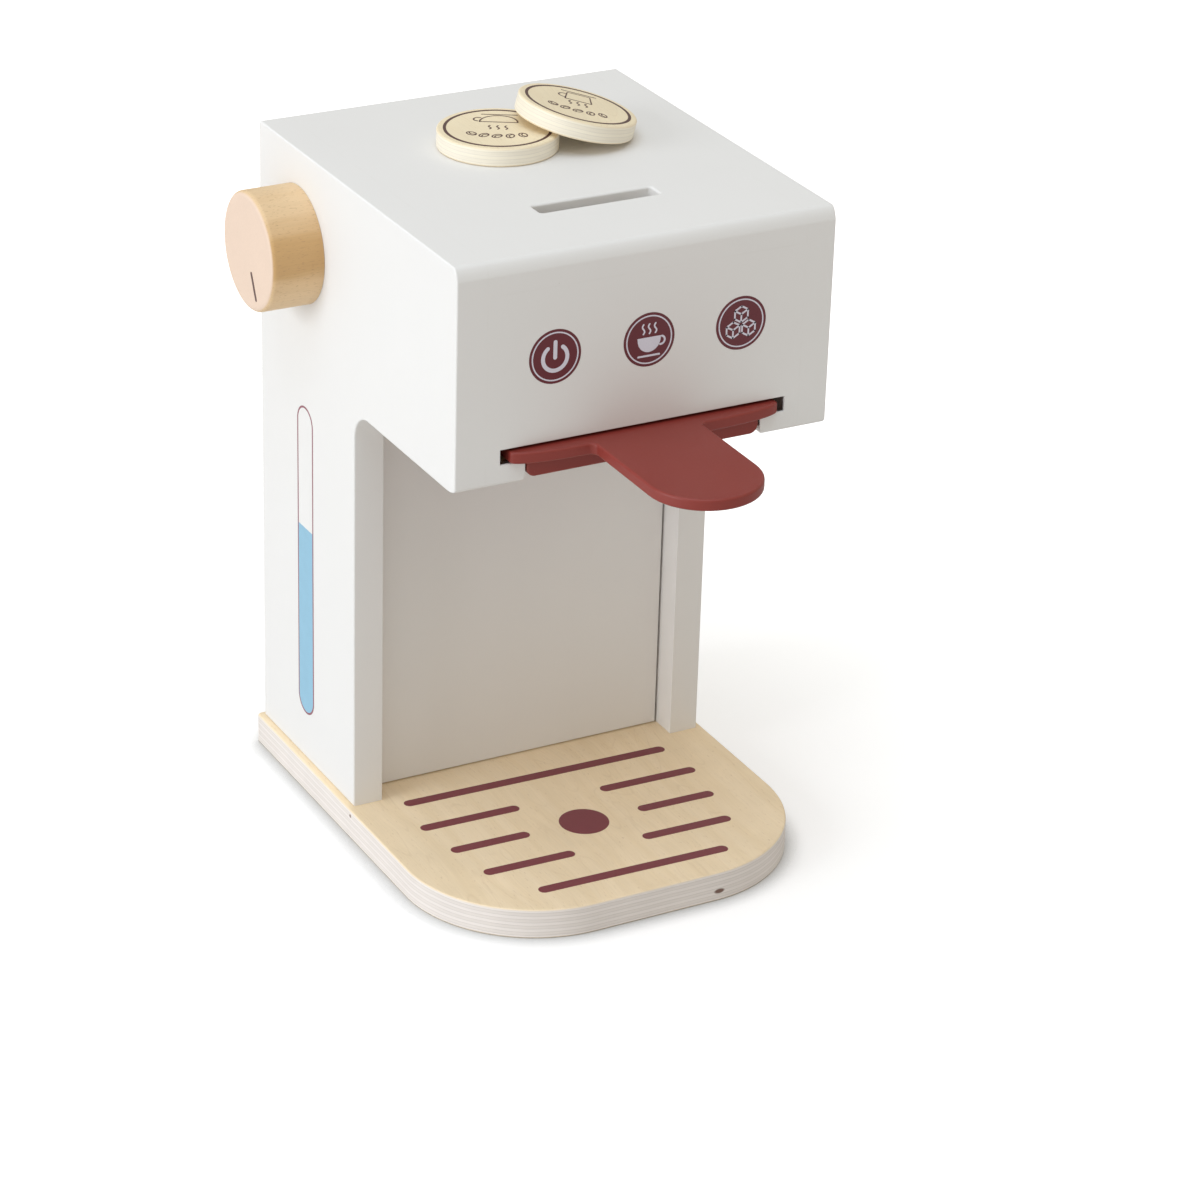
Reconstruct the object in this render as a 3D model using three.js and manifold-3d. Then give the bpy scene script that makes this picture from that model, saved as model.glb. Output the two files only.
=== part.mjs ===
// Toy coffee maker for a play kitchen, built from wooden boards.
// Millimetres, +Z up. The front faces -Y and +X is to the right when one looks at the front.
// The origin is the centre of the underside of the base plate.
import * as THREE from "three";
import { mergeVertices } from "three/addons/utils/BufferGeometryUtils.js";
import Module from "manifold-3d";

const wasm = await Module();
wasm.setup();

// Housing: two L-shaped side panels with boards between them
const housingWidth = 150;
const housingHeight = 248.5;
const headHeight = 83.5;
const headReach = 82;
const columnDepth = 83;
const recessDepth = 11;
const boardThickness = 12;
const backBoardThickness = 6;
const recessBoardThickness = 9;
const topFrontRadius = 6;
const topBackRadius = 1.5;
const headLowerRadius = 5;
const bayCornerRadius = 9;

// Base plate, with the same margin at the housing's sides and back
const baseThickness = 12;
const baseFrontReach = 21.5;
const baseMargin = 2.5;
const baseFrontRadius = 52;
const baseBackRadius = 2;
const baseEdgeRadius = 0.8;

// Mouth of the head: a wide slot above a notch that leaves a stub on each side
const mouthMargin = 5.8;
const mouthTopClearance = 1;
const stubWidth = 15.5;
const stubHeight = 7.8;
const stubCornerRadius = 3.5;

// Slider: a plate with a round-ended tongue, on a narrower block that runs in the notch
const plateThickness = 4.4;
const plateSideClearance = 3.4;
const plateFrontReach = 5.6;
const plateFrontSweep = 5.2;
const plateFlatMargin = 1;
const plateEdgeRadius = 0.6;
const tongueWidth = 42.6;
const tongueReach = 66;
const tongueSideOffset = 1.7;
const tongueRootRadius = 2.5;
const blockSideClearance = 0.8;
const blockBottomClearance = 1.2;
const blockCornerRadius = 3.4;
const sliderRearClearance = 5;
const sliderTravel = 27;

// Stop pins, which run in two straight slots of the plate
const stopPinDiameter = 6;
const stopPinInset = 13.8;
const stopPinFromFront = 22;

// Disc slot in the top, and the chute below it
const chuteFromFront = 40.7;
const discEndClearance = 1.5;
const discFaceClearance = 0.4;
const chuteCornerRadius = 1.2;
const chuteWallThickness = 4.8;
const cheekWidth = 12;
const gateClearance = 0.6;

// Coffee discs
const discDiameter = 45;
const discThickness = 7;
const discEdgeRadius = 0.8;
const flatDiscX = -7;
const flatDiscFromFront = 103.9;
const leanSpan = 29.2;
const leanSideOffset = 4.4;
const leanHeadingDegrees = -12.2;

// Knob on the left side, on a dowel with a retaining ring inside
const knobDiameter = 45;
const knobThickness = 20.5;
const knobEdgeRadius = 2;
const knobFromBack = 35.8;
const knobBelowTop = 36.1;
const knobPanelGap = 0.4;
const axleDiameter = 10;
const axleBoreDepth = 12;
const axleOverhang = 1.5;
const ringDiameter = 22;
const ringThickness = 6;

// Countersunk screws that come up through the base plate into the side panels
const screwLength = 34;
const screwShankDiameter = 3.6;
const screwHeadDiameter = 7.6;
const screwHeadDepth = 2.2;
const screwRecess = 0.5;
const screwFrontInset = 14;
const screwBackInset = 16;

// Clearances, and how far a cutting tool runs past the faces that it cuts
const runningGap = 0.3;
const fitGap = 0.3;
const toolOverrun = 1;
const weldDistance = 0.0001;

// How finely round shapes are divided
const roundSteps = 48;
const pinSteps = 16;
const cornerSteps = 4;
const baseCornerSteps = 12;
const sweepSteps = 8;
const edgeSteps = 2;

// Places that several pieces share, measured from the head's front face and the base plate's top
const housingDepth = headReach + columnDepth;
const headFront = (baseFrontReach - housingDepth - baseMargin) / 2;
const headUnderside = housingHeight - headHeight;
const knobDepth = housingDepth - knobFromBack;
const knobHeight = housingHeight - knobBelowTop;
const innerHalf = housingWidth / 2 - boardThickness;
const topUnderside = housingHeight - boardThickness;
const recessFront = headReach + recessDepth;
const recessBack = recessFront + recessBoardThickness;
const backBoardFront = housingDepth - backBoardThickness;
const mouthHalf = innerHalf - mouthMargin;
const notchHalf = innerHalf - stubWidth;
const railTop = headUnderside + stubHeight;
const plateBottom = railTop + runningGap;
const plateTop = plateBottom + plateThickness;
const mouthTop = plateTop + mouthTopClearance;
const plateHalf = mouthHalf - plateSideClearance;
const sliderBack = recessFront - sliderRearClearance;
const stopPinX = plateHalf - stopPinInset;
const blockBottom = headUnderside + blockBottomClearance;
const chuteLength = discDiameter + 2 * discEndClearance;
const chuteWidth = discThickness + 2 * discFaceClearance;
const chuteFront = chuteFromFront - chuteWidth / 2;
const chuteBack = chuteFromFront + chuteWidth / 2;
const quarterTurn = Math.PI / 2;
const halfTurn = Math.PI;

const paintedBoard = finish("painted board", 0xeeebe4, 0.55);
const bareBoard = finish("bare board", 0xcbb28c, 0.8);
const birchPly = finish("birch plywood", 0xdcc094, 0.6);
const discPly = finish("birch plywood disc", 0xe6cfa3, 0.6);
const brownLacquer = finish("brown lacquer", 0x7f3d3a, 0.5);
const beech = finish("beech", 0xe2c39c, 0.6);
const zincSteel = finish("zinc plated steel", 0xb9bcc0, 0.35, 1);

function finish(name, color, roughness, metalness = 0) {
  return new THREE.MeshStandardMaterial({ name, color, roughness, metalness });
}

// Turns a closed three.js geometry into a solid that can be joined and cut.
function solidOf(geometry) {
  const bare = geometry.clone();
  bare.deleteAttribute("normal");
  bare.deleteAttribute("uv");
  const merged = mergeVertices(bare, weldDistance);
  const mesh = new wasm.Mesh({
    numProp: 3,
    vertProperties: new Float32Array(merged.attributes.position.array),
    triVerts: new Uint32Array(merged.index.array),
  });
  return new wasm.Manifold(mesh);
}

// Turns a solid back into a three.js geometry.
function geometryOf(solid) {
  const mesh = solid.getMesh();
  const geometry = new THREE.BufferGeometry();
  geometry.setAttribute("position", new THREE.BufferAttribute(mesh.vertProperties, 3));
  geometry.setIndex(new THREE.BufferAttribute(mesh.triVerts, 1));
  geometry.computeVertexNormals();
  return geometry;
}

// Cuts every tool out of one body.
function cut(body, ...tools) {
  return geometryOf(tools.reduce((rest, tool) => rest.subtract(solidOf(tool)), solidOf(body)));
}

// Keeps what two bodies share.
function shared(first, second) {
  return geometryOf(solidOf(first).intersect(solidOf(second)));
}

// A box between two corners.
function boxBetween(low, high) {
  const size = high.map((value, axis) => value - low[axis]);
  const middle = high.map((value, axis) => (value + low[axis]) / 2);
  return new THREE.BoxGeometry(...size).translate(...middle);
}

// An outline drawn in X and Y, raised from z = 0 to the given height.
function raised(outline, height, edgeRadius = 0, curveSegments = cornerSteps) {
  const geometry = new THREE.ExtrudeGeometry(outline, {
    depth: height - 2 * edgeRadius,
    steps: 1,
    curveSegments,
    bevelEnabled: edgeRadius > 0,
    bevelThickness: edgeRadius,
    bevelSize: edgeRadius,
    bevelOffset: -edgeRadius,
    bevelSegments: edgeSteps,
  });
  return geometry.translate(0, 0, edgeRadius);
}

// A rectangle about a centre, with every corner rounded.
function roundedRectangle(width, depth, radius, centreX = 0, centreY = 0) {
  const outline = new THREE.Shape();
  const right = centreX + width / 2;
  const left = centreX - width / 2;
  const top = centreY + depth / 2;
  const bottom = centreY - depth / 2;
  outline.moveTo(left + radius, bottom);
  outline.absarc(right - radius, bottom + radius, radius, -quarterTurn, 0);
  outline.absarc(right - radius, top - radius, radius, 0, quarterTurn);
  outline.absarc(left + radius, top - radius, radius, quarterTurn, halfTurn);
  outline.absarc(left + radius, bottom + radius, radius, halfTurn, halfTurn + quarterTurn);
  return outline;
}

// A straight slot along Y with round ends, about a centre.
function straightSlot(width, length, centreX, centreY) {
  const outline = new THREE.Shape();
  const reach = (length - width) / 2;
  outline.moveTo(centreX - width / 2, centreY - reach);
  outline.absarc(centreX, centreY - reach, width / 2, halfTurn, 2 * halfTurn);
  outline.absarc(centreX, centreY + reach, width / 2, 0, halfTurn);
  return outline;
}

// A turned round piece along Z from z = 0, with both edges rounded.
function roundPiece(diameter, height, edgeRadius, steps = roundSteps) {
  const radius = diameter / 2;
  const profile = [new THREE.Vector2(0, 0)];
  for (let step = 0; step <= edgeSteps; step += 1) {
    const angle = -quarterTurn + (quarterTurn * step) / edgeSteps;
    const across = radius - edgeRadius + edgeRadius * Math.cos(angle);
    profile.push(new THREE.Vector2(across, edgeRadius + edgeRadius * Math.sin(angle)));
  }
  for (let step = 0; step <= edgeSteps; step += 1) {
    const angle = (quarterTurn * step) / edgeSteps;
    const across = radius - edgeRadius + edgeRadius * Math.cos(angle);
    profile.push(new THREE.Vector2(across, height - edgeRadius + edgeRadius * Math.sin(angle)));
  }
  profile.push(new THREE.Vector2(0, height));
  return new THREE.LatheGeometry(profile, steps).rotateX(quarterTurn);
}

// A plain pin along Z from z = 0.
function pin(diameter, height, steps = pinSteps) {
  const geometry = new THREE.CylinderGeometry(diameter / 2, diameter / 2, height, steps);
  return geometry.rotateX(quarterTurn).translate(0, 0, height / 2);
}

function piece(name, material, geometry, place = [0, 0, 0]) {
  const mesh = new THREE.Mesh(geometry, material);
  mesh.name = name;
  mesh.position.set(...place);
  return mesh;
}

// The side view of the housing, drawn with the depth as X and the height as Y.
function sideProfile() {
  const outline = new THREE.Shape();
  const bayTop = headUnderside - bayCornerRadius;
  const topFront = housingHeight - topFrontRadius;
  const topBack = housingHeight - topBackRadius;
  outline.moveTo(headReach, 0);
  outline.lineTo(housingDepth, 0);
  outline.absarc(housingDepth - topBackRadius, topBack, topBackRadius, 0, quarterTurn);
  outline.absarc(topFrontRadius, topFront, topFrontRadius, quarterTurn, halfTurn);
  outline.absarc(
    headLowerRadius, headUnderside + headLowerRadius, headLowerRadius, halfTurn, halfTurn + quarterTurn,
  );
  outline.absarc(headReach - bayCornerRadius, bayTop, bayCornerRadius, quarterTurn, 0, true);
  return outline;
}

// The side profile as a slab that runs across from x = 0.
function profileSlab(width) {
  const slab = raised(sideProfile(), width);
  return slab.applyMatrix4(new THREE.Matrix4().makeBasis(
    new THREE.Vector3(0, 1, 0), new THREE.Vector3(0, 0, 1), new THREE.Vector3(1, 0, 0),
  ));
}

// Screw places in plan, under the two side panels.
function screwPlaces() {
  const across = (housingWidth - boardThickness) / 2;
  const depths = [headReach + screwFrontInset, housingDepth - screwBackInset];
  return [-across, across].flatMap((x) => depths.map((y) => [x, y]));
}

// The shape of one countersunk screw, head down, grown all round by a clearance.
function screwShape(clearance) {
  const shank = screwShankDiameter / 2 + clearance;
  const head = screwHeadDiameter / 2 + clearance;
  const profile = [
    new THREE.Vector2(0, 0),
    new THREE.Vector2(head, 0),
    new THREE.Vector2(shank, screwHeadDepth),
    new THREE.Vector2(shank, screwLength + clearance),
    new THREE.Vector2(0, screwLength + clearance),
  ];
  return new THREE.LatheGeometry(profile, pinSteps).rotateX(quarterTurn);
}

// The hole for one screw, with the recess below its head.
function screwHole(x, y, bottom) {
  const hole = screwShape(fitGap).translate(x, y, bottom + screwRecess);
  const recess = pin(screwHeadDiameter + 2 * fitGap, screwRecess + toolOverrun);
  return [hole, recess.translate(x, y, bottom - toolOverrun)];
}

function basePlate() {
  const outline = new THREE.Shape();
  const half = housingWidth / 2 + baseMargin;
  const front = headFront - baseFrontReach;
  const back = headFront + housingDepth + baseMargin;
  const frontCentre = front + baseFrontRadius;
  outline.moveTo(baseFrontRadius - half, front);
  outline.absarc(half - baseFrontRadius, frontCentre, baseFrontRadius, -quarterTurn, 0);
  outline.absarc(half - baseBackRadius, back - baseBackRadius, baseBackRadius, 0, quarterTurn);
  outline.absarc(baseBackRadius - half, back - baseBackRadius, baseBackRadius, quarterTurn, halfTurn);
  outline.absarc(baseFrontRadius - half, frontCentre, baseFrontRadius, halfTurn, halfTurn + quarterTurn);
  const plate = raised(outline, baseThickness, baseEdgeRadius, baseCornerSteps);
  const holes = screwPlaces().flatMap(([x, y]) => screwHole(x, headFront + y, 0));
  return piece("base_plate", birchPly, cut(plate, ...holes));
}

// One side panel, with its screw holes and, on the left, the bore for the knob's dowel.
function sidePanel(side) {
  const left = side < 0 ? -housingWidth / 2 : innerHalf;
  const slab = profileSlab(boardThickness).translate(left, 0, 0);
  const tools = screwPlaces()
    .filter(([x]) => x * side > 0)
    .map(([x, y]) => screwShape(fitGap).translate(x, y, screwRecess - baseThickness));
  if (side < 0) {
    const bore = pin(axleDiameter + 2 * runningGap, boardThickness + 2 * toolOverrun);
    bore.rotateY(quarterTurn);
    tools.push(bore.translate(left - toolOverrun, knobDepth, knobHeight));
  }
  const name = side < 0 ? "left_side_panel" : "right_side_panel";
  return piece(name, paintedBoard, cut(slab, ...tools));
}

function topPanel() {
  const board = boxBetween([-innerHalf, 0, topUnderside], [innerHalf, housingDepth, housingHeight]);
  const rounded = shared(board, profileSlab(2 * innerHalf).translate(-innerHalf, 0, 0));
  const opening = roundedRectangle(chuteLength, chuteWidth, chuteCornerRadius, 0, chuteFromFront);
  const tool = raised(opening, boardThickness + 2 * toolOverrun);
  return piece("top_panel", paintedBoard, cut(rounded, tool.translate(0, 0, topUnderside - toolOverrun)));
}

// The front panel between the side panels, with the slot and the notch of the mouth.
function frontPanel() {
  const outline = new THREE.Shape();
  const stubCentre = notchHalf + stubCornerRadius;
  const stubArc = headUnderside + stubCornerRadius;
  outline.moveTo(-innerHalf, topUnderside);
  outline.lineTo(-innerHalf, headUnderside);
  outline.absarc(-stubCentre, stubArc, stubCornerRadius, -quarterTurn, 0);
  outline.lineTo(-notchHalf, railTop);
  outline.lineTo(-mouthHalf, railTop);
  outline.lineTo(-mouthHalf, mouthTop);
  outline.lineTo(mouthHalf, mouthTop);
  outline.lineTo(mouthHalf, railTop);
  outline.lineTo(notchHalf, railTop);
  outline.absarc(stubCentre, stubArc, stubCornerRadius, halfTurn, halfTurn + quarterTurn);
  outline.lineTo(innerHalf, headUnderside);
  outline.lineTo(innerHalf, topUnderside);
  const board = raised(outline, boardThickness).rotateX(quarterTurn).translate(0, boardThickness, 0);
  const rounded = shared(board, profileSlab(2 * innerHalf).translate(-innerHalf, 0, 0));
  return piece("front_panel", paintedBoard, rounded);
}

// The plain boards between the side panels, each given by two corners.
function innerBoards() {
  const cheekInner = chuteLength / 2;
  const cheekOuter = cheekInner + cheekWidth;
  const frontWallFront = chuteFront - chuteWallThickness;
  const rearWallBack = chuteBack + chuteWallThickness;
  const boards = {
    recess_panel: [paintedBoard, [-innerHalf, recessFront, 0], [innerHalf, recessBack, railTop]],
    back_panel: [paintedBoard, [-innerHalf, backBoardFront, 0], [innerHalf, housingDepth, topUnderside]],
    left_rail: [bareBoard, [-innerHalf, boardThickness, headUnderside], [-notchHalf, recessFront, railTop]],
    right_rail: [bareBoard, [notchHalf, boardThickness, headUnderside], [innerHalf, recessFront, railTop]],
    front_chute_wall: [
      bareBoard, [-innerHalf, frontWallFront, mouthTop], [innerHalf, chuteFront, topUnderside],
    ],
    rear_chute_wall: [bareBoard, [-innerHalf, chuteBack, mouthTop], [innerHalf, rearWallBack, topUnderside]],
    left_chute_cheek: [bareBoard, [-cheekOuter, chuteFront, mouthTop], [-cheekInner, chuteBack, topUnderside]],
    right_chute_cheek: [bareBoard, [cheekInner, chuteFront, mouthTop], [cheekOuter, chuteBack, topUnderside]],
  };
  return Object.entries(boards).map(([name, [material, low, high]]) => {
    const middle = low.map((value, axis) => (value + high[axis]) / 2);
    const size = high.map((value, axis) => value - low[axis]);
    return piece(name, material, new THREE.BoxGeometry(...size), middle);
  });
}

// The keeper above the slider's plate, with the two bores that hold the stop pins.
function sliderKeeper() {
  const front = boardThickness;
  const back = chuteFront - chuteWallThickness;
  const board = boxBetween([-innerHalf, front, mouthTop], [innerHalf, back, mouthTop + boardThickness]);
  const bores = [-1, 1].map((side) => {
    const bore = pin(stopPinDiameter + 2 * fitGap, boardThickness + 2 * toolOverrun);
    return bore.translate(side * stopPinX, stopPinFromFront, mouthTop - toolOverrun);
  });
  return piece("slider_keeper", bareBoard, cut(board, ...bores));
}

function stopPins() {
  const bottom = plateBottom + runningGap;
  const top = mouthTop + boardThickness;
  return [-1, 1].map((side) => {
    const name = side < 0 ? "left_stop_pin" : "right_stop_pin";
    const place = [side * stopPinX, stopPinFromFront, bottom];
    return piece(name, beech, pin(stopPinDiameter, top - bottom), place);
  });
}

// The slot through the slider that drops a disc once it lies under the chute.
function gateTool() {
  const length = chuteLength + 2 * gateClearance;
  const width = chuteWidth + 2 * gateClearance;
  const outline = roundedRectangle(length, width, chuteCornerRadius, 0, chuteFromFront + sliderTravel);
  const height = plateTop - blockBottom + 2 * toolOverrun;
  return raised(outline, height).translate(0, 0, blockBottom - toolOverrun);
}

// The plate's outline: a front edge that falls back towards its ends, and the tongue.
function plateOutline() {
  const outline = new THREE.Shape();
  const tongueHalf = tongueWidth / 2;
  const flatHalf = tongueHalf + tongueRootRadius + Math.abs(tongueSideOffset) + plateFlatMargin;
  const tongueArc = tongueHalf - tongueReach;
  const rootEdge = -plateFrontReach - tongueRootRadius;
  const endFront = plateFrontSweep - plateFrontReach;
  const sweepWidth = plateHalf - flatHalf;
  const rootCentre = tongueHalf + tongueRootRadius;
  outline.moveTo(plateHalf, sliderBack);
  outline.lineTo(-plateHalf, sliderBack);
  outline.absellipse(-flatHalf, endFront, sweepWidth, plateFrontSweep, halfTurn, halfTurn + quarterTurn);
  outline.absarc(-tongueSideOffset - rootCentre, rootEdge, tongueRootRadius, quarterTurn, 0, true);
  outline.absarc(-tongueSideOffset, tongueArc, tongueHalf, halfTurn, 2 * halfTurn);
  outline.absarc(rootCentre - tongueSideOffset, rootEdge, tongueRootRadius, halfTurn, quarterTurn, true);
  outline.absellipse(flatHalf, endFront, sweepWidth, plateFrontSweep, -quarterTurn, 0);
  return outline;
}

function sliderPlate() {
  const plate = raised(plateOutline(), plateThickness, plateEdgeRadius, sweepSteps);
  const slotWidth = stopPinDiameter + 2 * runningGap;
  const slotLength = slotWidth + sliderTravel;
  const slotMiddle = stopPinFromFront + sliderTravel / 2;
  const slots = [-1, 1].map((side) => {
    const outline = straightSlot(slotWidth, slotLength, side * stopPinX, slotMiddle);
    return raised(outline, plateThickness + 2 * toolOverrun).translate(0, 0, plateBottom - toolOverrun);
  });
  const placed = plate.translate(0, 0, plateBottom);
  return piece("slider_plate", brownLacquer, cut(placed, gateTool(), ...slots));
}

// The block under the plate, with its two lower long edges rounded.
function sliderBlock() {
  const half = notchHalf - blockSideClearance;
  const outline = new THREE.Shape();
  const arc = blockBottom + blockCornerRadius;
  outline.moveTo(half, plateBottom);
  outline.lineTo(-half, plateBottom);
  outline.absarc(blockCornerRadius - half, arc, blockCornerRadius, halfTurn, halfTurn + quarterTurn);
  outline.absarc(half - blockCornerRadius, arc, blockCornerRadius, -quarterTurn, 0);
  const block = raised(outline, sliderBack).rotateX(quarterTurn).translate(0, sliderBack, 0);
  return piece("slider_block", brownLacquer, cut(block, gateTool()));
}

// The knob, its dowel and the retaining ring, on an axis along X with x = 0 at the panel's outer face.
function knobPieces() {
  const bore = pin(axleDiameter + 2 * fitGap, axleBoreDepth + toolOverrun);
  const body = roundPiece(knobDiameter, knobThickness, knobEdgeRadius);
  const turned = cut(body, bore.translate(0, 0, -toolOverrun));
  const ringStart = boardThickness + knobPanelGap;
  const axleStart = fitGap - knobPanelGap - axleBoreDepth;
  const axleEnd = ringStart + ringThickness + axleOverhang;
  const ringBore = pin(axleDiameter + 2 * fitGap, ringThickness + 2 * toolOverrun);
  const ring = cut(pin(ringDiameter, ringThickness, roundSteps), ringBore.translate(0, 0, -toolOverrun));
  return [
    piece("knob", beech, turned.rotateY(-quarterTurn), [-knobPanelGap, 0, 0]),
    piece("knob_axle", beech, pin(axleDiameter, axleEnd - axleStart).rotateY(quarterTurn), [axleStart, 0, 0]),
    piece("knob_ring", bareBoard, ring.rotateY(quarterTurn), [ringStart, 0, 0]),
  ];
}

function baseScrews() {
  return screwPlaces().map(([x, y], index) => {
    const place = [x, y, screwRecess - baseThickness];
    return piece(`base_screw_${index + 1}`, zincSteel, screwShape(0), place);
  });
}

// Two discs on the top: one lies flat, the other leans on its rim.
function discs() {
  const flat = piece("disc_flat", discPly, roundPiece(discDiameter, discThickness, discEdgeRadius));
  const leaning = piece("disc_leaning", discPly, roundPiece(discDiameter, discThickness, discEdgeRadius));
  const tilt = Math.atan(discThickness / leanSpan);
  const radius = discDiameter / 2;
  const along = radius + leanSpan - radius * Math.cos(tilt);
  const lean = new THREE.Group();
  lean.rotation.z = THREE.MathUtils.degToRad(leanHeadingDegrees);
  leaning.position.set(along, leanSideOffset, runningGap + radius * Math.sin(tilt));
  leaning.rotation.y = tilt;
  lean.add(leaning);
  const pair = new THREE.Group();
  pair.position.set(flatDiscX, flatDiscFromFront, housingHeight);
  pair.add(flat, lean);
  return pair;
}

const housing = new THREE.Group();
housing.position.set(0, headFront, baseThickness);
housing.add(sidePanel(-1), sidePanel(1), topPanel(), frontPanel());
housing.add(...innerBoards());
housing.add(sliderKeeper(), ...stopPins(), ...baseScrews());

const slider = new THREE.Group();
slider.add(sliderPlate(), sliderBlock());

const knob = new THREE.Group();
knob.position.set(-housingWidth / 2, knobDepth, knobHeight);
knob.add(...knobPieces());

housing.add(slider, knob, discs());

const coffeeMaker = new THREE.Group();
coffeeMaker.add(basePlate(), housing);

export default coffeeMaker;
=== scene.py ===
"""The looks of a wooden toy coffee maker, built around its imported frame.

Lengths are written in millimetres and turned into metres where a mesh is made. The front faces -Y,
+X is to the right when one looks at the front, and the origin is the centre of the base's underside.
"""

import logging
import math
from collections.abc import Callable, Iterable, Sequence
from dataclasses import dataclass
from enum import Enum

import bmesh
import bpy
from mathutils import Matrix, Vector


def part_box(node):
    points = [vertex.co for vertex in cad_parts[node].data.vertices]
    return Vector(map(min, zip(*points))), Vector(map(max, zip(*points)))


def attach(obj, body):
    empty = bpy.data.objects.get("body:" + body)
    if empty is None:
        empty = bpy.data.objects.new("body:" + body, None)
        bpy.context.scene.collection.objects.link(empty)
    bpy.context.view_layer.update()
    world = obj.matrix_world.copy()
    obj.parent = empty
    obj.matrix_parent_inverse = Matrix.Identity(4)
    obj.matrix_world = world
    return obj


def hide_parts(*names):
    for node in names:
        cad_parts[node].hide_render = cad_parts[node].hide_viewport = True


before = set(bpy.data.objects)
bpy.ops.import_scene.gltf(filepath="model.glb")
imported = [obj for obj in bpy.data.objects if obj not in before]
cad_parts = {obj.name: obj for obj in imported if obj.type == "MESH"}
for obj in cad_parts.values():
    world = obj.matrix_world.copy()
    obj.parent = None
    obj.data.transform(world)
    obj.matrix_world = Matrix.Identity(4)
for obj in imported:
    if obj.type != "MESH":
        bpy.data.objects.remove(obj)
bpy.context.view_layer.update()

LOG = logging.getLogger("coffee_maker")
MM = 0.001
OWN_PLACE = "own_place"
SMOOTH_ANGLE = math.radians(32)
STEEP_ANGLE = 1.0
WELD = 0.001 * MM
UPRIGHT_GRAIN = Matrix.Rotation(math.radians(-90), 4, "X")
HEAD_FRONT = -73.0
KNOB_AXIS = (56.2, 224.4)
KNOB_BORE = 5.3

Point = tuple[float, float]
Triple = tuple[float, float, float]
Rgb = Triple
Solid = bmesh.types.BMesh
Edge = bmesh.types.BMEdge
Socket = bpy.types.NodeSocket
Outputs = bpy.types.NodeOutputs
Material = bpy.types.Material
Value = float | tuple[float, ...] | Socket
EdgeRule = Callable[[Edge], bool]


class Axis(Enum):
    """The axis along which a flat outline is raised."""

    X = 0
    Y = 1
    Z = 2

    def place(self, across: float, up: float, along: float) -> Vector:
        """Puts a point of an outline in space.

        Args:
            across: The outline's first coordinate, in metres.
            up: The outline's second coordinate, in metres.
            along: The place along this axis, in metres.

        Returns:
            The point, in metres.
        """
        if self is Axis.X:
            return Vector((along, across, up))
        if self is Axis.Y:
            return Vector((across, along, up))
        return Vector((across, up, along))


class DiscMotif(Enum):
    """The drink that a disc's print shows."""

    LOW_CUP = "low_cup"
    TALL_MUG = "tall_mug"


class Outline:
    """A closed flat outline, drawn point by point in millimetres."""

    def __init__(self, steps: int = 12) -> None:
        """Starts an empty outline.

        Args:
            steps: How many pieces an arc is divided into.
        """
        self.steps = steps
        self.points: list[Point] = []

    def to(self, across: float, up: float) -> "Outline":
        """Adds one corner and returns the outline."""
        self.points.append((across, up))
        return self

    def arc(self, centre: Point, reach: float | Point, start: float, end: float) -> "Outline":
        """Adds an arc of a circle or an ellipse.

        Args:
            centre: The arc's centre.
            reach: Its radius, or both half axes.
            start: The angle where it starts, in degrees.
            end: The angle where it ends, in degrees.

        Returns:
            The outline.
        """
        wide, tall = reach if isinstance(reach, tuple) else (reach, reach)
        for step in range(self.steps + 1):
            angle = math.radians(start + (end - start) * step / self.steps)
            self.to(centre[0] + wide * math.cos(angle), centre[1] + tall * math.sin(angle))
        return self

    def clean(self) -> list[Point]:
        """Leaves out every point that lies on the one before.

        Returns:
            The points that are left.
        """
        kept: list[Point] = []
        for point in self.points:
            if not kept or math.dist(point, kept[-1]) > MM:
                kept.append(point)
        if math.dist(kept[0], kept[-1]) <= MM:
            kept.pop()
        return kept


def rounded_rectangle(width: float, depth: float, radius: float,
                      centre: Point = (0, 0), steps: int = 8) -> Outline:
    """Draws a rectangle with round corners.

    Args:
        width: The first side.
        depth: The second side.
        radius: The corners' radius.
        centre: The middle of the rectangle.
        steps: How many pieces a corner is divided into.

    Returns:
        The outline.
    """
    outline = Outline(steps)
    right = width / 2 - radius
    top = depth / 2 - radius
    corners = [(right, -top, -90), (right, top, 0), (-right, top, 90), (-right, -top, 180)]
    for across, up, start in corners:
        outline.arc((centre[0] + across, centre[1] + up), radius, start, start + 90)
    return outline


def round_ended(width: float, length: float, centre: Point = (0, 0), steps: int = 8) -> Outline:
    """Draws an upright strip with round ends, with a tiny flat at each tip so that no two points meet.

    Args:
        width: The strip's width.
        length: Its length.
        centre: Its middle.
        steps: How many pieces half an end is divided into.

    Returns:
        The outline.
    """
    flat = 0.02
    return rounded_rectangle(width, length, (width - flat) / 2, centre, steps)


def prism(outline: Outline, axis: Axis, start: float, end: float) -> Solid:
    """Raises an outline into a closed solid.

    Args:
        outline: The outline, in millimetres.
        axis: The axis along which it is raised.
        start: Where the solid starts on that axis.
        end: Where it ends.

    Returns:
        The solid, in metres.
    """
    solid = bmesh.new()
    points = outline.clean()
    rims = [
        [solid.verts.new(axis.place(across * MM, up * MM, along * MM)) for across, up in points]
        for along in (start, end)
    ]
    solid.faces.new(rims[0])
    solid.faces.new(rims[1])
    for index in range(len(points)):
        after = (index + 1) % len(points)
        solid.faces.new((rims[0][index], rims[0][after], rims[1][after], rims[1][index]))
    bmesh.ops.recalc_face_normals(solid, faces=solid.faces)
    return solid


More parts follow.
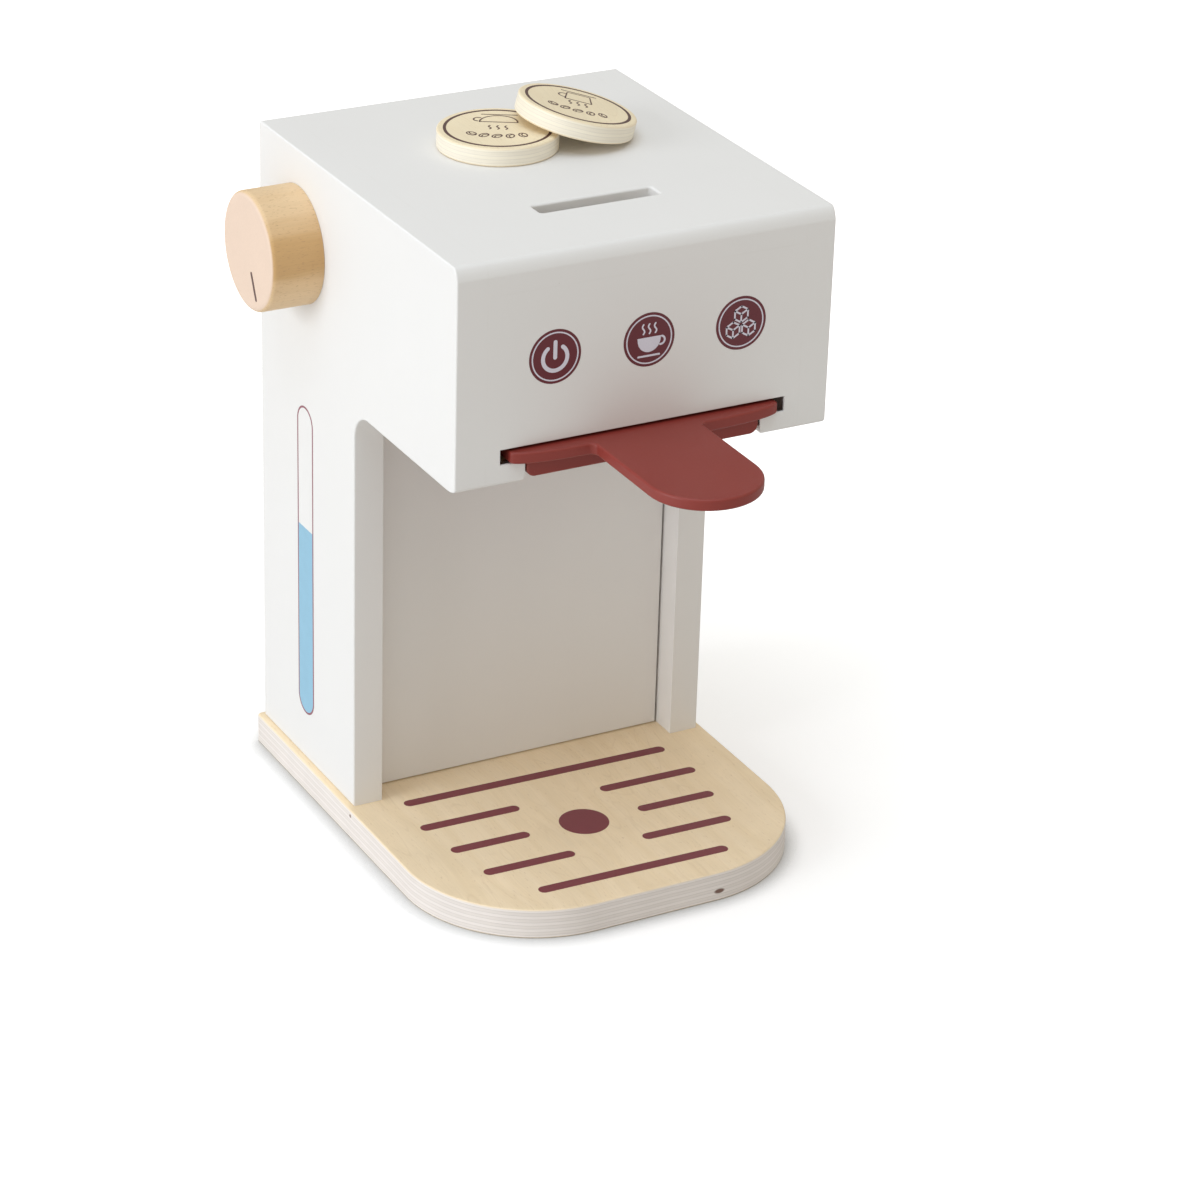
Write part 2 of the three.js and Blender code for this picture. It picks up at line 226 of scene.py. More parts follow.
def turned(profile: Sequence[Point], steps: int = 128) -> Solid:
    """Turns a profile about the Z axis.

    Args:
        profile: Points of radius and height in millimetres, from axis to axis.
        steps: How many pieces the circle is divided into.

    Returns:
        The solid, in metres, with its axis on Z.
    """
    solid = bmesh.new()
    rings: list[list[bmesh.types.BMVert]] = []
    for radius, height in profile:
        if radius == 0:
            rings.append([solid.verts.new((0, 0, height * MM))])
            continue
        angles = [2 * math.pi * step / steps for step in range(steps)]
        rings.append([
            solid.verts.new((radius * MM * math.cos(a), radius * MM * math.sin(a), height * MM))
            for a in angles
        ])
    for lower, upper in zip(rings, rings[1:]):
        for step in range(steps):
            after = (step + 1) % steps
            corners = [lower[step % len(lower)], lower[after % len(lower)],
                       upper[after % len(upper)], upper[step % len(upper)]]
            solid.faces.new(list(dict.fromkeys(corners)))
    bmesh.ops.recalc_face_normals(solid, faces=solid.faces)
    return solid


def quarter(centre: Point, radius: float, start: float, steps: int = 6) -> list[Point]:
    """Returns the points of a quarter circle that starts at an angle in degrees."""
    return Outline(steps).arc(centre, radius, start, start + 90).points


def rod_profile(radius: float, tall: float, edge: float) -> list[Point]:
    """Draws the profile of a round rod or disc that stands on its end.

    Args:
        radius: Its radius.
        tall: Its height.
        edge: The rounding of both ends.

    Returns:
        The profile, to be turned.
    """
    lower = quarter((radius - edge, edge), edge, -90)
    upper = quarter((radius - edge, tall - edge), edge, 0)
    return [(0, 0), *lower, *upper, (0, tall)]


def bevel(solid: Solid, rule: EdgeRule, radius: float, segments: int = 4) -> None:
    """Rounds the edges that a rule picks.

    Args:
        solid: The solid to change.
        rule: Says for each edge whether it is rounded.
        radius: The rounding's radius, in millimetres.
        segments: How many pieces the rounding is divided into.
    """
    picked = [edge for edge in solid.edges if rule(edge)]
    bmesh.ops.bevel(solid, geom=picked, offset=radius * MM, segments=segments, profile=0.5,
                    affect="EDGES", clamp_overlap=True)


def on_plane(axis: Axis, place: float, tolerance: float = 0.02) -> EdgeRule:
    """Makes a rule that picks the edges lying in one plane.

    Args:
        axis: The axis square to the plane.
        place: Where the plane is on that axis, in millimetres.
        tolerance: How far off a point may lie, in millimetres.

    Returns:
        The rule.
    """
    def rule(edge: Edge) -> bool:
        """Tells whether both ends lie in the plane."""
        return all(abs(vert.co[axis.value] / MM - place) < tolerance for vert in edge.verts)
    return rule


def on_patch(axis: Axis, place: float, middle: Point, reach: Point) -> EdgeRule:
    """Makes a rule that picks the edges lying in a rectangle of one plane.

    Args:
        axis: The axis square to the plane.
        place: Where the plane is on that axis, in millimetres.
        middle: The rectangle's middle on the two other axes.
        reach: How far the rectangle reaches from there.

    Returns:
        The rule.
    """
    flat = [other.value for other in Axis if other is not axis]
    in_plane = on_plane(axis, place)

    def near(vert: bmesh.types.BMVert) -> bool:
        """Tells whether a point lies in the rectangle."""
        return all(abs(vert.co[i] / MM - m) < r for i, m, r in zip(flat, middle, reach))

    def rule(edge: Edge) -> bool:
        """Tells whether both ends lie in the rectangle."""
        return in_plane(edge) and all(near(vert) for vert in edge.verts)
    return rule


def turning(angle: float) -> EdgeRule:
    """Makes a rule that picks the edges that turn by more than an angle.

    Args:
        angle: The angle, in radians.

    Returns:
        The rule.
    """
    def rule(edge: Edge) -> bool:
        """Tells whether the edge turns by more than the angle."""
        return len(edge.link_faces) == 2 and edge.calc_face_angle(0) > angle
    return rule


def keep_own_place(mesh: bpy.types.Mesh, along: Matrix | None = None) -> None:
    """Stores each point's place in the piece itself, for patterns that follow the piece.

    Args:
        mesh: The mesh, before it is put in its place.
        along: A turn that brings the wood's grain onto Y.
    """
    turn = along or Matrix.Identity(4)
    store = mesh.attributes.new(OWN_PLACE, "FLOAT_VECTOR", "POINT")
    for vertex in mesh.vertices:
        store.data[vertex.index].vector = turn @ vertex.co


def mesh_of(solid: Solid, name: str) -> bpy.types.Mesh:
    """Turns a solid into a mesh and frees the solid.

    Args:
        solid: The solid.
        name: The mesh's name.

    Returns:
        The mesh.
    """
    mesh = bpy.data.meshes.new(name)
    solid.to_mesh(mesh)
    solid.free()
    return mesh


def absorb(solid: Solid, mesh: bpy.types.Mesh) -> None:
    """Adds a mesh to a solid and deletes the mesh."""
    solid.from_mesh(mesh)
    bpy.data.meshes.remove(mesh)


def linked(name: str, data: bpy.types.ID) -> bpy.types.Object:
    """Makes an object and links it to the scene.

    Args:
        name: The object's name.
        data: Its mesh, lamp or camera.

    Returns:
        The object.
    """
    item = bpy.data.objects.new(name, data)
    bpy.context.scene.collection.objects.link(item)
    return item


def evaluated_mesh(piece: bpy.types.Object) -> bpy.types.Mesh:
    """Applies an object's modifiers.

    Args:
        piece: The object.

    Returns:
        A plain mesh of what they make.
    """
    bpy.context.view_layer.update()
    graph = bpy.context.evaluated_depsgraph_get()
    return bpy.data.meshes.new_from_object(piece.evaluated_get(graph), depsgraph=graph)


def carve(solid: Solid, tools: Iterable[Solid], operation: str = "DIFFERENCE") -> Solid:
    """Cuts tools out of a solid, or keeps what it shares with them.

    Args:
        solid: The solid to cut.
        tools: The cutting solids.
        operation: DIFFERENCE or INTERSECT.

    Returns:
        The cut solid.
    """
    body = linked("carved", mesh_of(solid, "carved"))
    cutters = []
    for tool in tools:
        cutter = linked("cutter", mesh_of(tool, "cutter"))
        cutters.append(cutter)
        step = body.modifiers.new("cut", "BOOLEAN")
        step.object = cutter
        step.operation = operation
        step.solver = "EXACT"
    mesh = evaluated_mesh(body)
    for spent in (body, *cutters):
        bpy.data.objects.remove(spent)
    result = bmesh.new()
    absorb(result, mesh)
    bmesh.ops.remove_doubles(result, verts=result.verts, dist=WELD)
    return result


def finished_piece(name: str, mesh: bpy.types.Mesh, material: Material, body: str,
                   replaces: Sequence[str] = ()) -> bpy.types.Object:
    """Makes a piece of the object from a mesh that is in its place.

    Args:
        name: The piece's name.
        mesh: Its mesh, in metres and in the frame of the whole object.
        material: Its finish.
        body: The body that it moves with.
        replaces: The nodes that it stands for.

    Returns:
        The piece.
    """
    mesh.name = name
    mesh.materials.clear()
    mesh.materials.append(material)
    mesh.polygons.foreach_set("use_smooth", [True] * len(mesh.polygons))
    mesh.set_sharp_from_angle(angle=SMOOTH_ANGLE)
    piece = linked(name, mesh)
    weighted = piece.modifiers.new("flat faces stay flat", "WEIGHTED_NORMAL")
    weighted.keep_sharp = True
    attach(piece, body)
    if replaces:
        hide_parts(*replaces)
    LOG.info("%s: %d faces on %s", name, len(mesh.polygons), body)
    return piece


class Graph:
    """Adds nodes to a node tree and joins them."""

    def __init__(self, tree: bpy.types.NodeTree) -> None:
        """Keeps the tree that nodes are added to."""
        self.tree = tree

    def node(self, kind: str, inputs: dict[str | int, Value] | None = None,
             **settings: object) -> bpy.types.Node:
        """Adds one node.

        Args:
            kind: The node's type.
            inputs: A value or another node's socket for each input, by name or number.
            settings: The node's own settings.

        Returns:
            The node.
        """
        node = self.tree.nodes.new(kind)
        for name, value in settings.items():
            setattr(node, name, value)
        for key, value in (inputs or {}).items():
            if isinstance(value, Socket):
                self.tree.links.new(value, node.inputs[key])
            else:
                node.inputs[key].default_value = value
        return node

    def math(self, operation: str, *values: Value) -> Socket:
        """Adds a sum of one, two or three values."""
        return self.node("ShaderNodeMath", dict(enumerate(values)), operation=operation).outputs[0]

    def vector(self, operation: str, *values: Value) -> bpy.types.Node:
        """Adds a vector sum."""
        return self.node("ShaderNodeVectorMath", dict(enumerate(values)), operation=operation)

    def times(self, first: Value, second: Value) -> Socket:
        """Multiplies two values."""
        return self.math("MULTIPLY", first, second)

    def rest(self, value: Value) -> Socket:
        """Takes a value away from 1."""
        return self.math("SUBTRACT", 1.0, value)

    def swing(self, value: Value, reach: Value, level: Value) -> Socket:
        """Raises a level by a reach times a value."""
        return self.math("MULTIPLY_ADD", value, reach, level)

    def tone(self, value: Value, contrast: float) -> Socket:
        """Turns a value about 0.5 into a tone about 1."""
        return self.swing(value, contrast, 1 - contrast / 2)

    def part(self, vector: Value, axis: Axis) -> Socket:
        """Returns a vector's part along one axis."""
        return self.node("ShaderNodeSeparateXYZ", {0: vector}).outputs[axis.value]

    def joined(self, *parts: Value) -> Socket:
        """Makes a vector of its parts."""
        return self.node("ShaderNodeCombineXYZ", dict(enumerate(parts))).outputs[0]

    def lines(self, count: Value, width: float) -> Socket:
        """Draws a soft line wherever a count passes a whole number.

        Args:
            count: The count.
            width: The reach of a line to each side, as a share of one count.

        Returns:
            The lines' mask.
        """
        part = self.math("FRACT", count)
        near = self.math("MINIMUM", part, self.rest(part))
        return self.rest(self.step(near, 0.0, width))

    def feed(self, node: bpy.types.Node, **sockets: Socket) -> None:
        """Joins sockets to a node's inputs of the same names, with _ for spaces."""
        for key, socket in sockets.items():
            self.tree.links.new(socket, node.inputs[key.replace("_", " ")])

    def mix(self, factor: Value, first: Value, second: Value) -> Socket:
        """Mixes two colours.

        Args:
            factor: The share of the second colour.
            first: The first colour.
            second: The second colour.

        Returns:
            The mixed colour.
        """
        inputs = {0: factor, 6: opaque(first), 7: opaque(second)}
        return self.node("ShaderNodeMix", inputs, data_type="RGBA").outputs[2]

    def step(self, value: Value, low: float, high: float) -> Socket:
        """Turns a value into a soft step from 0 at low to 1 at high."""
        inputs = {"Value": value, "From Min": low, "From Max": high}
        return self.node("ShaderNodeMapRange", inputs, interpolation_type="SMOOTHSTEP").outputs[0]

    def noise(self, place: Value, scale: Value, detail: float = 2.0, roughness: float = 0.5) -> Socket:
        """Adds a noise pattern and returns its value, about 0.5."""
        inputs = {"Vector": place, "Scale": scale, "Detail": detail, "Roughness": roughness}
        return self.node("ShaderNodeTexNoise", inputs).outputs[0]

    def stretched(self, place: Value, size: Value, detail: float) -> Socket:
        """Adds a noise pattern with its own size along each axis."""
        return self.noise(self.vector("DIVIDE", place, size).outputs[0], 1.0, detail)


def opaque(colour: Value) -> Value:
    """Gives a plain colour the fourth value that a socket wants."""
    return (*colour, 1.0) if isinstance(colour, tuple) and len(colour) == 3 else colour


class ShaderGroup:
    """A shared effect, built once and placed in each material with its own values."""

    def __init__(self, name: str, inputs: dict[str, float | None], outputs: Sequence[str]) -> None:
        """Makes the empty group.

        Args:
            name: The effect's name.
            inputs: A starting value for each input, or None for a vector.
            outputs: The names of the values that it puts out.
        """
        self.tree = bpy.data.node_groups.new(name, "ShaderNodeTree")
        for key, start in inputs.items():
            kind = "NodeSocketVector" if start is None else "NodeSocketFloat"
            socket = self.tree.interface.new_socket(name=key, in_out="INPUT", socket_type=kind)
            if start is not None:
                socket.default_value = start
        for key in outputs:
            self.tree.interface.new_socket(name=key, in_out="OUTPUT", socket_type="NodeSocketFloat")
        self.graph = Graph(self.tree)
        self.given = self.graph.node("NodeGroupInput").outputs
        self.last = self.graph.node("NodeGroupOutput")

    def put_out(self, **values: Socket) -> None:
        """Joins each named value to the output of that name."""
        self.graph.feed(self.last, **values)

    def place_in(self, graph: Graph, inputs: dict[str, Value]) -> Outputs:
        """Places the effect in a material.

        Args:
            graph: The material's nodes.
            inputs: The effect's values there.

        Returns:
            The effect's outputs.
        """
        return graph.node("ShaderNodeGroup", inputs, node_tree=self.tree).outputs


class SharedEffects:
    """The effects that more than one finish uses."""

    def __init__(self) -> None:
        """Builds every effect."""
        self.mottle = self._mottle()
        self.edge_wear = self._edge_wear()
        self.specks = self._specks()
        self.grain = self._grain()
        self.plies = self._plies()

    @staticmethod
    def _mottle() -> ShaderGroup:
        """Builds soft clouds about 1, and a height between 0 and 1.

        Returns:
            The effect.
        """
        inputs = {"Place": None, "Size": 10 * MM, "Contrast": 0.02}
        group = ShaderGroup("Mottle", inputs, ["Tone", "Height"])
        graph, given = group.graph, group.given
        cloud = graph.noise(given["Place"], graph.math("DIVIDE", 1.0, given["Size"]), detail=3.0)
        swing = graph.times(graph.math("SUBTRACT", cloud, 0.5), 2.0)
        tone = graph.swing(swing, given["Contrast"], 1.0)
        group.put_out(Tone=tone, Height=cloud)
        return group

    @staticmethod
    def _edge_wear() -> ShaderGroup:
        """Builds a mask that is 1 on rounded and sharp edges, broken up by noise.

        Returns:
            The effect.
        """
        inputs = {"Place": None, "Radius": 1 * MM, "Break Size": 4 * MM}
        group = ShaderGroup("Edge wear", inputs, ["Mask"])
        graph, given = group.graph, group.given
        edge_range, break_range = (0.01, 0.16), (0.35, 0.65)
        soft = graph.node("ShaderNodeBevel", {"Radius": given["Radius"]}, samples=6).outputs[0]
        true = graph.node("ShaderNodeNewGeometry").outputs["Normal"]
        turn = graph.rest(graph.vector("DOT_PRODUCT", soft, true).outputs["Value"])
        breaks = graph.noise(given["Place"], graph.math("DIVIDE", 1.0, given["Break Size"]), detail=4.0)
        group.put_out(Mask=graph.times(graph.step(turn, *edge_range), graph.step(breaks, *break_range)))
        return group

    @staticmethod
    def _specks() -> ShaderGroup:
        """Builds small scattered spots.

        Returns:
            The effect.
        """
        inputs = {"Place": None, "Spacing": 4 * MM, "Share": 0.1, "Reach": 0.15}
        group = ShaderGroup("Specks", inputs, ["Mask"])
        graph, given = group.graph, group.given
        core = 0.6
        scale = graph.math("DIVIDE", 1.0, given["Spacing"])
        cells = graph.node("ShaderNodeTexVoronoi", {"Vector": given["Place"], "Scale": scale})
        chance = graph.node("ShaderNodeSeparateColor", {0: cells.outputs["Color"]}).outputs[0]
        chosen = graph.math("LESS_THAN", chance, given["Share"])
        near = graph.math("DIVIDE", cells.outputs["Distance"], given["Reach"])
        spot = graph.rest(graph.step(near, core, 1.0))
        group.put_out(Mask=graph.times(spot, chosen))
        return group

    @staticmethod
    def _grain() -> ShaderGroup:
        """Builds wood grain that runs along Y: broad bands, fine fibres and short flecks.

        Returns:
            The effect.
        """
        inputs = {"Place": None, "Band Width": 6 * MM, "Fibre Width": 0.5 * MM,
                  "Fleck Width": 0.35 * MM, "Fleck Length": 2.5 * MM, "Fleck Share": 0.3}
        group = ShaderGroup("Wood grain", inputs, ["Bands", "Fibres", "Flecks", "Rings"])
        graph, given = group.graph, group.given
        bend_size, bend_reach = 45 * MM, 9 * MM
        band_stretch, band_range, fibre_stretch = 14.0, (0.25, 0.75), 40.0
        broad_width, broad_length, ring_count, ring_line = 20 * MM, 85 * MM, 11.0, 0.075
        patch_size, patch_range = 16 * MM, (0.42, 0.6)
        rarest_fleck, fleck_gain, fleck_range = 0.86, 0.4, (0.0, 0.06)
        bend = graph.noise(given["Place"], 1 / bend_size)
        shift = graph.times(graph.math("SUBTRACT", bend, 0.5), bend_reach)
        bent = graph.vector("ADD", given["Place"], graph.joined(shift)).outputs[0]

        def streaks(width: Value, length: Value, detail: float) -> Socket:
            """Makes streaks along the grain.

            Args:
                width: Their size across the grain.
                length: Their size along it.
                detail: How finely they are broken up.

            Returns:
                The streaks' value, about 0.5.
            """
            return graph.stretched(bent, graph.joined(width, length, width), detail)

        band, fibre = given["Band Width"], given["Fibre Width"]
        bands = streaks(band, graph.times(band, band_stretch), 3.0)
        fibres = streaks(fibre, graph.times(fibre, fibre_stretch), 2.0)
        flecks = streaks(given["Fleck Width"], given["Fleck Length"], 0.0)
        broad = streaks(broad_width, broad_length, 1.5)
        rings = graph.lines(graph.times(broad, ring_count), ring_line)
        patchy = graph.step(graph.noise(given["Place"], 1 / patch_size), *patch_range)
        limit = graph.math("SUBTRACT", rarest_fleck, graph.times(given["Fleck Share"], fleck_gain))
        over = graph.math("SUBTRACT", flecks, limit)
        group.put_out(Bands=graph.step(bands, *band_range), Fibres=fibres,
                      Flecks=graph.step(over, *fleck_range), Rings=graph.times(rings, patchy))
        return group

    @staticmethod
    def _plies() -> ShaderGroup:
        """Builds the layers at a plywood's edge, counted along Z from the underside.

        Returns:
            The effect.
        """
        inputs = {"Place": None, "Thickness": 12 * MM, "Layers": 7.0}
        group = ShaderGroup("Ply layers", inputs, ["Side", "Tone", "Line", "Veneer", "Fibres"])
        graph, given = group.graph, group.given
        waver_size, waver_reach = 14 * MM, 0.55 * MM
        upright_range, glue_line, veneer_layers = (0.55, 0.8), 0.13, 0.45
        fibre_size = (9 * MM, 9 * MM, 0.22 * MM)
        normal = graph.node("ShaderNodeNewGeometry").outputs["Normal"]
        upright = graph.math("ABSOLUTE", graph.part(normal, Axis.Z))
        side = graph.rest(graph.step(upright, *upright_range))
        waver = graph.math("SUBTRACT", graph.noise(given["Place"], 1 / waver_size), 0.5)
        bent = graph.swing(waver, waver_reach, graph.part(given["Place"], Axis.Z))
        count = graph.times(graph.math("DIVIDE", bent, given["Thickness"]), given["Layers"])
        tone = graph.math("MODULO", graph.math("FLOOR", graph.math("ADD", count, 4.0)), 2.0)
        line = graph.lines(count, glue_line)
        low = graph.math("LESS_THAN", count, veneer_layers)
        high = graph.math("GREATER_THAN", count, graph.math("SUBTRACT", given["Layers"], veneer_layers))
        fibres = graph.stretched(given["Place"], fibre_size, detail=3.0)
        group.put_out(Side=side, Tone=tone, Line=line, Veneer=graph.math("MAXIMUM", low, high), Fibres=fibres)
        return group


def start_material(name: str, **constants: Value) -> tuple[Material, Graph, bpy.types.Node]:
    """Starts a material with a principled shader.

    Args:
        name: The material's name.
        constants: Values for the shader's own sockets, with _ for spaces.

    Returns:
        The material, its nodes and the shader.
    """
    material = bpy.data.materials.new(name)
    material.use_nodes = True
    shader = material.node_tree.nodes["Principled BSDF"]
    for key, value in constants.items():
        shader.inputs[key.replace("_", " ")].default_value = value
    return material, Graph(material.node_tree), shader


def tinted(graph: Graph, colour: Value, tone: Value) -> Socket:
    """Multiplies a colour by a tone about 1.

    Args:
        graph: The material's nodes.
        colour: The colour.
        tone: The tone.

    Returns:
        The tinted colour.
    """
    grey = graph.node("ShaderNodeCombineColor", {0: tone, 1: tone, 2: tone}).outputs[0]
    inputs = {0: 1.0, 6: opaque(colour), 7: grey}
    return graph.node("ShaderNodeMix", inputs, data_type="RGBA", blend_type="MULTIPLY").outputs[2]


def object_place(graph: Graph) -> Socket:
    """Returns the place on the whole object."""
    return graph.node("ShaderNodeTexCoord").outputs["Object"]


def own_place(graph: Graph) -> Socket:
    """Returns the place on the piece itself, as stored in its mesh."""
    return graph.node("ShaderNodeAttribute", attribute_name=OWN_PLACE).outputs["Vector"]


@dataclass(frozen=True)
class Clouds:
    """Soft clouds that tint a colour, with their size in millimetres."""

    size: float
    contrast: float

    def lay(self, graph: Graph, effects: SharedEffects, place: Value) -> Outputs:
        """Lays the clouds on a finish and returns their tone and height."""
        inputs = {"Place": place, "Size": self.size * MM, "Contrast": self.contrast}
        return effects.mottle.place_in(graph, inputs)


@dataclass(frozen=True)
class Wear:
    """Rubbed edges, with their reach and the size of the breaks in millimetres; on the lacquer the same mask
    also carries a painted highlight.
    """

    radius: float
    break_size: float

    def lay(self, graph: Graph, effects: SharedEffects, place: Value) -> Socket:
        """Lays the wear on a finish and returns its mask."""
        inputs = {"Place": place, "Radius": self.radius * MM, "Break Size": self.break_size * MM}
        return effects.edge_wear.place_in(graph, inputs)["Mask"]


@dataclass(frozen=True)
class Specks:
    """Scattered specks: their spacing in millimetres, how many show, and their size in spacings."""

    spacing: float
    share: float
    reach: float

    def lay(self, graph: Graph, effects: SharedEffects, place: Value) -> Socket:
        """Lays the specks on a finish and returns their mask."""
        inputs = {"Place": place, "Spacing": self.spacing * MM, "Share": self.share, "Reach": self.reach}
        return effects.specks.place_in(graph, inputs)["Mask"]


@dataclass(frozen=True)
class Relief:
    """A fine relief: its depth in millimetres and how much of it shows."""

    depth: float
    strength: float

    def normal(self, graph: Graph, height: Value) -> Socket:
        """Turns a height between 0 and 1 into a normal."""
        inputs = {"Height": height, "Distance": self.depth * MM, "Strength": self.strength}
        return graph.node("ShaderNodeBump", inputs).outputs[0]


@dataclass(frozen=True)
class PaintedBoard:
    """Fibreboard with smooth off-white satin paint."""

    colour: Rgb = (0.800, 0.789, 0.778)
    edge_colour: Rgb = (0.785, 0.773, 0.758)
    speck_colour: Rgb = (0.45, 0.42, 0.38)
    roughness: float = 0.6
    clouds: Clouds = Clouds(size=38, contrast=0.012)
    peel: Clouds = Clouds(size=1.4, contrast=0.004)
    peel_relief: Relief = Relief(depth=0.05, strength=0.35)
    peel_gloss: float = 0.1
    wear: Wear = Wear(radius=1.1, break_size=7)
    dust: Specks = Specks(spacing=9, share=0.09, reach=0.022)
    dust_share: float = 0.5

    def material(self, effects: SharedEffects) -> Material:
        """Builds the material.

        Args:
            effects: The shared effects.

        Returns:
            The material.
        """
        material, graph, shader = start_material("painted_board", Roughness=self.roughness)
        place = object_place(graph)
        cloud = self.clouds.lay(graph, effects, place)
        peel = self.peel.lay(graph, effects, place)
        colour = graph.mix(self.wear.lay(graph, effects, place), self.colour, self.edge_colour)
        colour = tinted(graph, colour, graph.times(cloud["Tone"], peel["Tone"]))
        dust = graph.times(self.dust.lay(graph, effects, place), self.dust_share)
        colour = graph.mix(dust, colour, self.speck_colour)
        gloss = graph.swing(peel["Height"], self.peel_gloss, self.roughness - self.peel_gloss / 2)
        normal = self.peel_relief.normal(graph, peel["Height"])
        graph.feed(shader, Base_Color=colour, Roughness=gloss, Normal=normal)
        return material


@dataclass(frozen=True)
class BareBoard:
    """Unpainted fibreboard, with the short fibres that its cut faces show."""

    colour: Rgb = (0.60, 0.45, 0.28)
    fibre_colour: Rgb = (0.42, 0.30, 0.18)
    roughness: float = 0.85
    clouds: Clouds = Clouds(size=12, contrast=0.05)
    fibre_size: float = 0.8
    fibre_detail: float = 4.0
    fibre_roughness: float = 0.7
    fibre_range: Point = (0.45, 0.8)
    fibre_relief: Relief = Relief(depth=0.12, strength=0.5)

    def material(self, effects: SharedEffects) -> Material:
        """Builds the material.

        Args:
            effects: The shared effects.

        Returns:
            The material.
        """
        material, graph, shader = start_material("bare_board", Roughness=self.roughness)
        place = object_place(graph)
        cloud = self.clouds.lay(graph, effects, place)
        fibre = graph.noise(place, 1 / (self.fibre_size * MM), self.fibre_detail, self.fibre_roughness)
        colour = graph.mix(graph.step(fibre, *self.fibre_range), self.colour, self.fibre_colour)
        normal = self.fibre_relief.normal(graph, fibre)
        graph.feed(shader, Base_Color=tinted(graph, colour, cloud["Tone"]), Normal=normal)
        return material


@dataclass(frozen=True)
class Knot:
    """A small knot at a plywood's edge, in millimetres from the middle of the piece's underside."""

    middle: Triple
    reach: Triple
    share: float = 0.92
    core: float = 0.55

    def mask(self, graph: Graph, place: Value) -> Socket:
        """Makes the knot's mask.

        Args:
            graph: The material's nodes.
            place: The place on the piece.

        Returns:
            The mask.
        """
        offset = graph.vector("SUBTRACT", place, tuple(Vector(self.middle) * MM)).outputs[0]
        scaled = graph.vector("DIVIDE", offset, tuple(Vector(self.reach) * MM)).outputs[0]
        away = graph.vector("LENGTH", scaled).outputs["Value"]
        return graph.times(graph.rest(graph.step(away, self.core, 1.0)), self.share)


@dataclass(frozen=True)
class BirchPly:
    """Clear-coated birch plywood, with its grain on the faces and its layers at the edge."""

    name: str
    thickness: float
    layers: int
    face_colour: Rgb = (0.95, 0.785, 0.552)
    band_colour: Rgb = (0.86, 0.685, 0.436)
    fleck_colour: Rgb = (0.42, 0.25, 0.12)
    ring_colour: Rgb = (0.50, 0.33, 0.16)
    light_ply: Rgb = (0.845, 0.785, 0.745)
    dark_ply: Rgb = (0.785, 0.726, 0.68)
    glue_colour: Rgb = (0.50, 0.45, 0.42)
    veneer_colour: Rgb = (0.82, 0.69, 0.52)
    knot_colour: Rgb = (0.14, 0.055, 0.03)
    clouds: Clouds = Clouds(size=22, contrast=0.085)
    specks: Specks = Specks(spacing=5, share=0.16, reach=0.05)
    relief: Relief = Relief(depth=0.05, strength=0.5)
    roughness: float = 0.46
    band_gloss: float = 0.08
    band_share: float = 0.55
    face_contrast: float = 0.14
    edge_contrast: float = 0.16
    fleck_share: float = 0.22
    speck_share: float = 0.45
    ring_share: float = 0.11
    line_share: float = 0.5
    veneer_share: float = 0.6
    knots: tuple[Knot, ...] = ()

    def material(self, effects: SharedEffects) -> Material:
        """Builds the material.

        Args:
            effects: The shared effects.

        Returns:
            The material.
        """
        material, graph, shader = start_material(self.name, Roughness=self.roughness)
        place = own_place(graph)
        grain = effects.grain.place_in(graph, {"Place": place})
        inputs = {"Place": place, "Thickness": self.thickness * MM, "Layers": float(self.layers)}
        plies = effects.plies.place_in(graph, inputs)
        cloud = self.clouds.lay(graph, effects, place)
        face, edge = self._face(graph, effects, place, grain), self._edge(graph, plies)
        colour = tinted(graph, graph.mix(plies["Side"], face, edge), cloud["Tone"])
        for knot in self.knots:
            colour = graph.mix(knot.mask(graph, place), colour, self.knot_colour)
        height = graph.math("SUBTRACT", grain["Fibres"], graph.times(plies["Line"], plies["Side"]))
        gloss = graph.swing(grain["Bands"], self.band_gloss, self.roughness)
        graph.feed(shader, Base_Color=colour, Roughness=gloss, Normal=self.relief.normal(graph, height))
        return material

    def _face(self, graph: Graph, effects: SharedEffects, place: Value,
              grain: Outputs) -> Socket:
        """Colours the two faces.

        Args:
            graph: The material's nodes.
            effects: The shared effects.
            place: The place on the piece.
            grain: The grain's values.

        Returns:
            The colour.
        """
        face = graph.mix(graph.times(grain["Bands"], self.band_share), self.face_colour, self.band_colour)
        face = tinted(graph, face, graph.tone(grain["Fibres"], self.face_contrast))
        flecks = graph.times(grain["Flecks"], self.fleck_share)
        specks = graph.times(self.specks.lay(graph, effects, place), self.speck_share)
        face = graph.mix(graph.math("MAXIMUM", flecks, specks), face, self.fleck_colour)
        return graph.mix(graph.times(grain["Rings"], self.ring_share), face, self.ring_colour)

    def _edge(self, graph: Graph, plies: Outputs) -> Socket:
        """Colours the edge with its layers.

        Args:
            graph: The material's nodes.
            plies: The layers' values.

        Returns:
            The colour.
        """
        edge = graph.mix(plies["Tone"], self.light_ply, self.dark_ply)
        edge = graph.mix(graph.times(plies["Line"], self.line_share), edge, self.glue_colour)
        edge = tinted(graph, edge, graph.tone(plies["Fibres"], self.edge_contrast))
        return graph.mix(graph.times(plies["Veneer"], self.veneer_share), edge, self.veneer_colour)


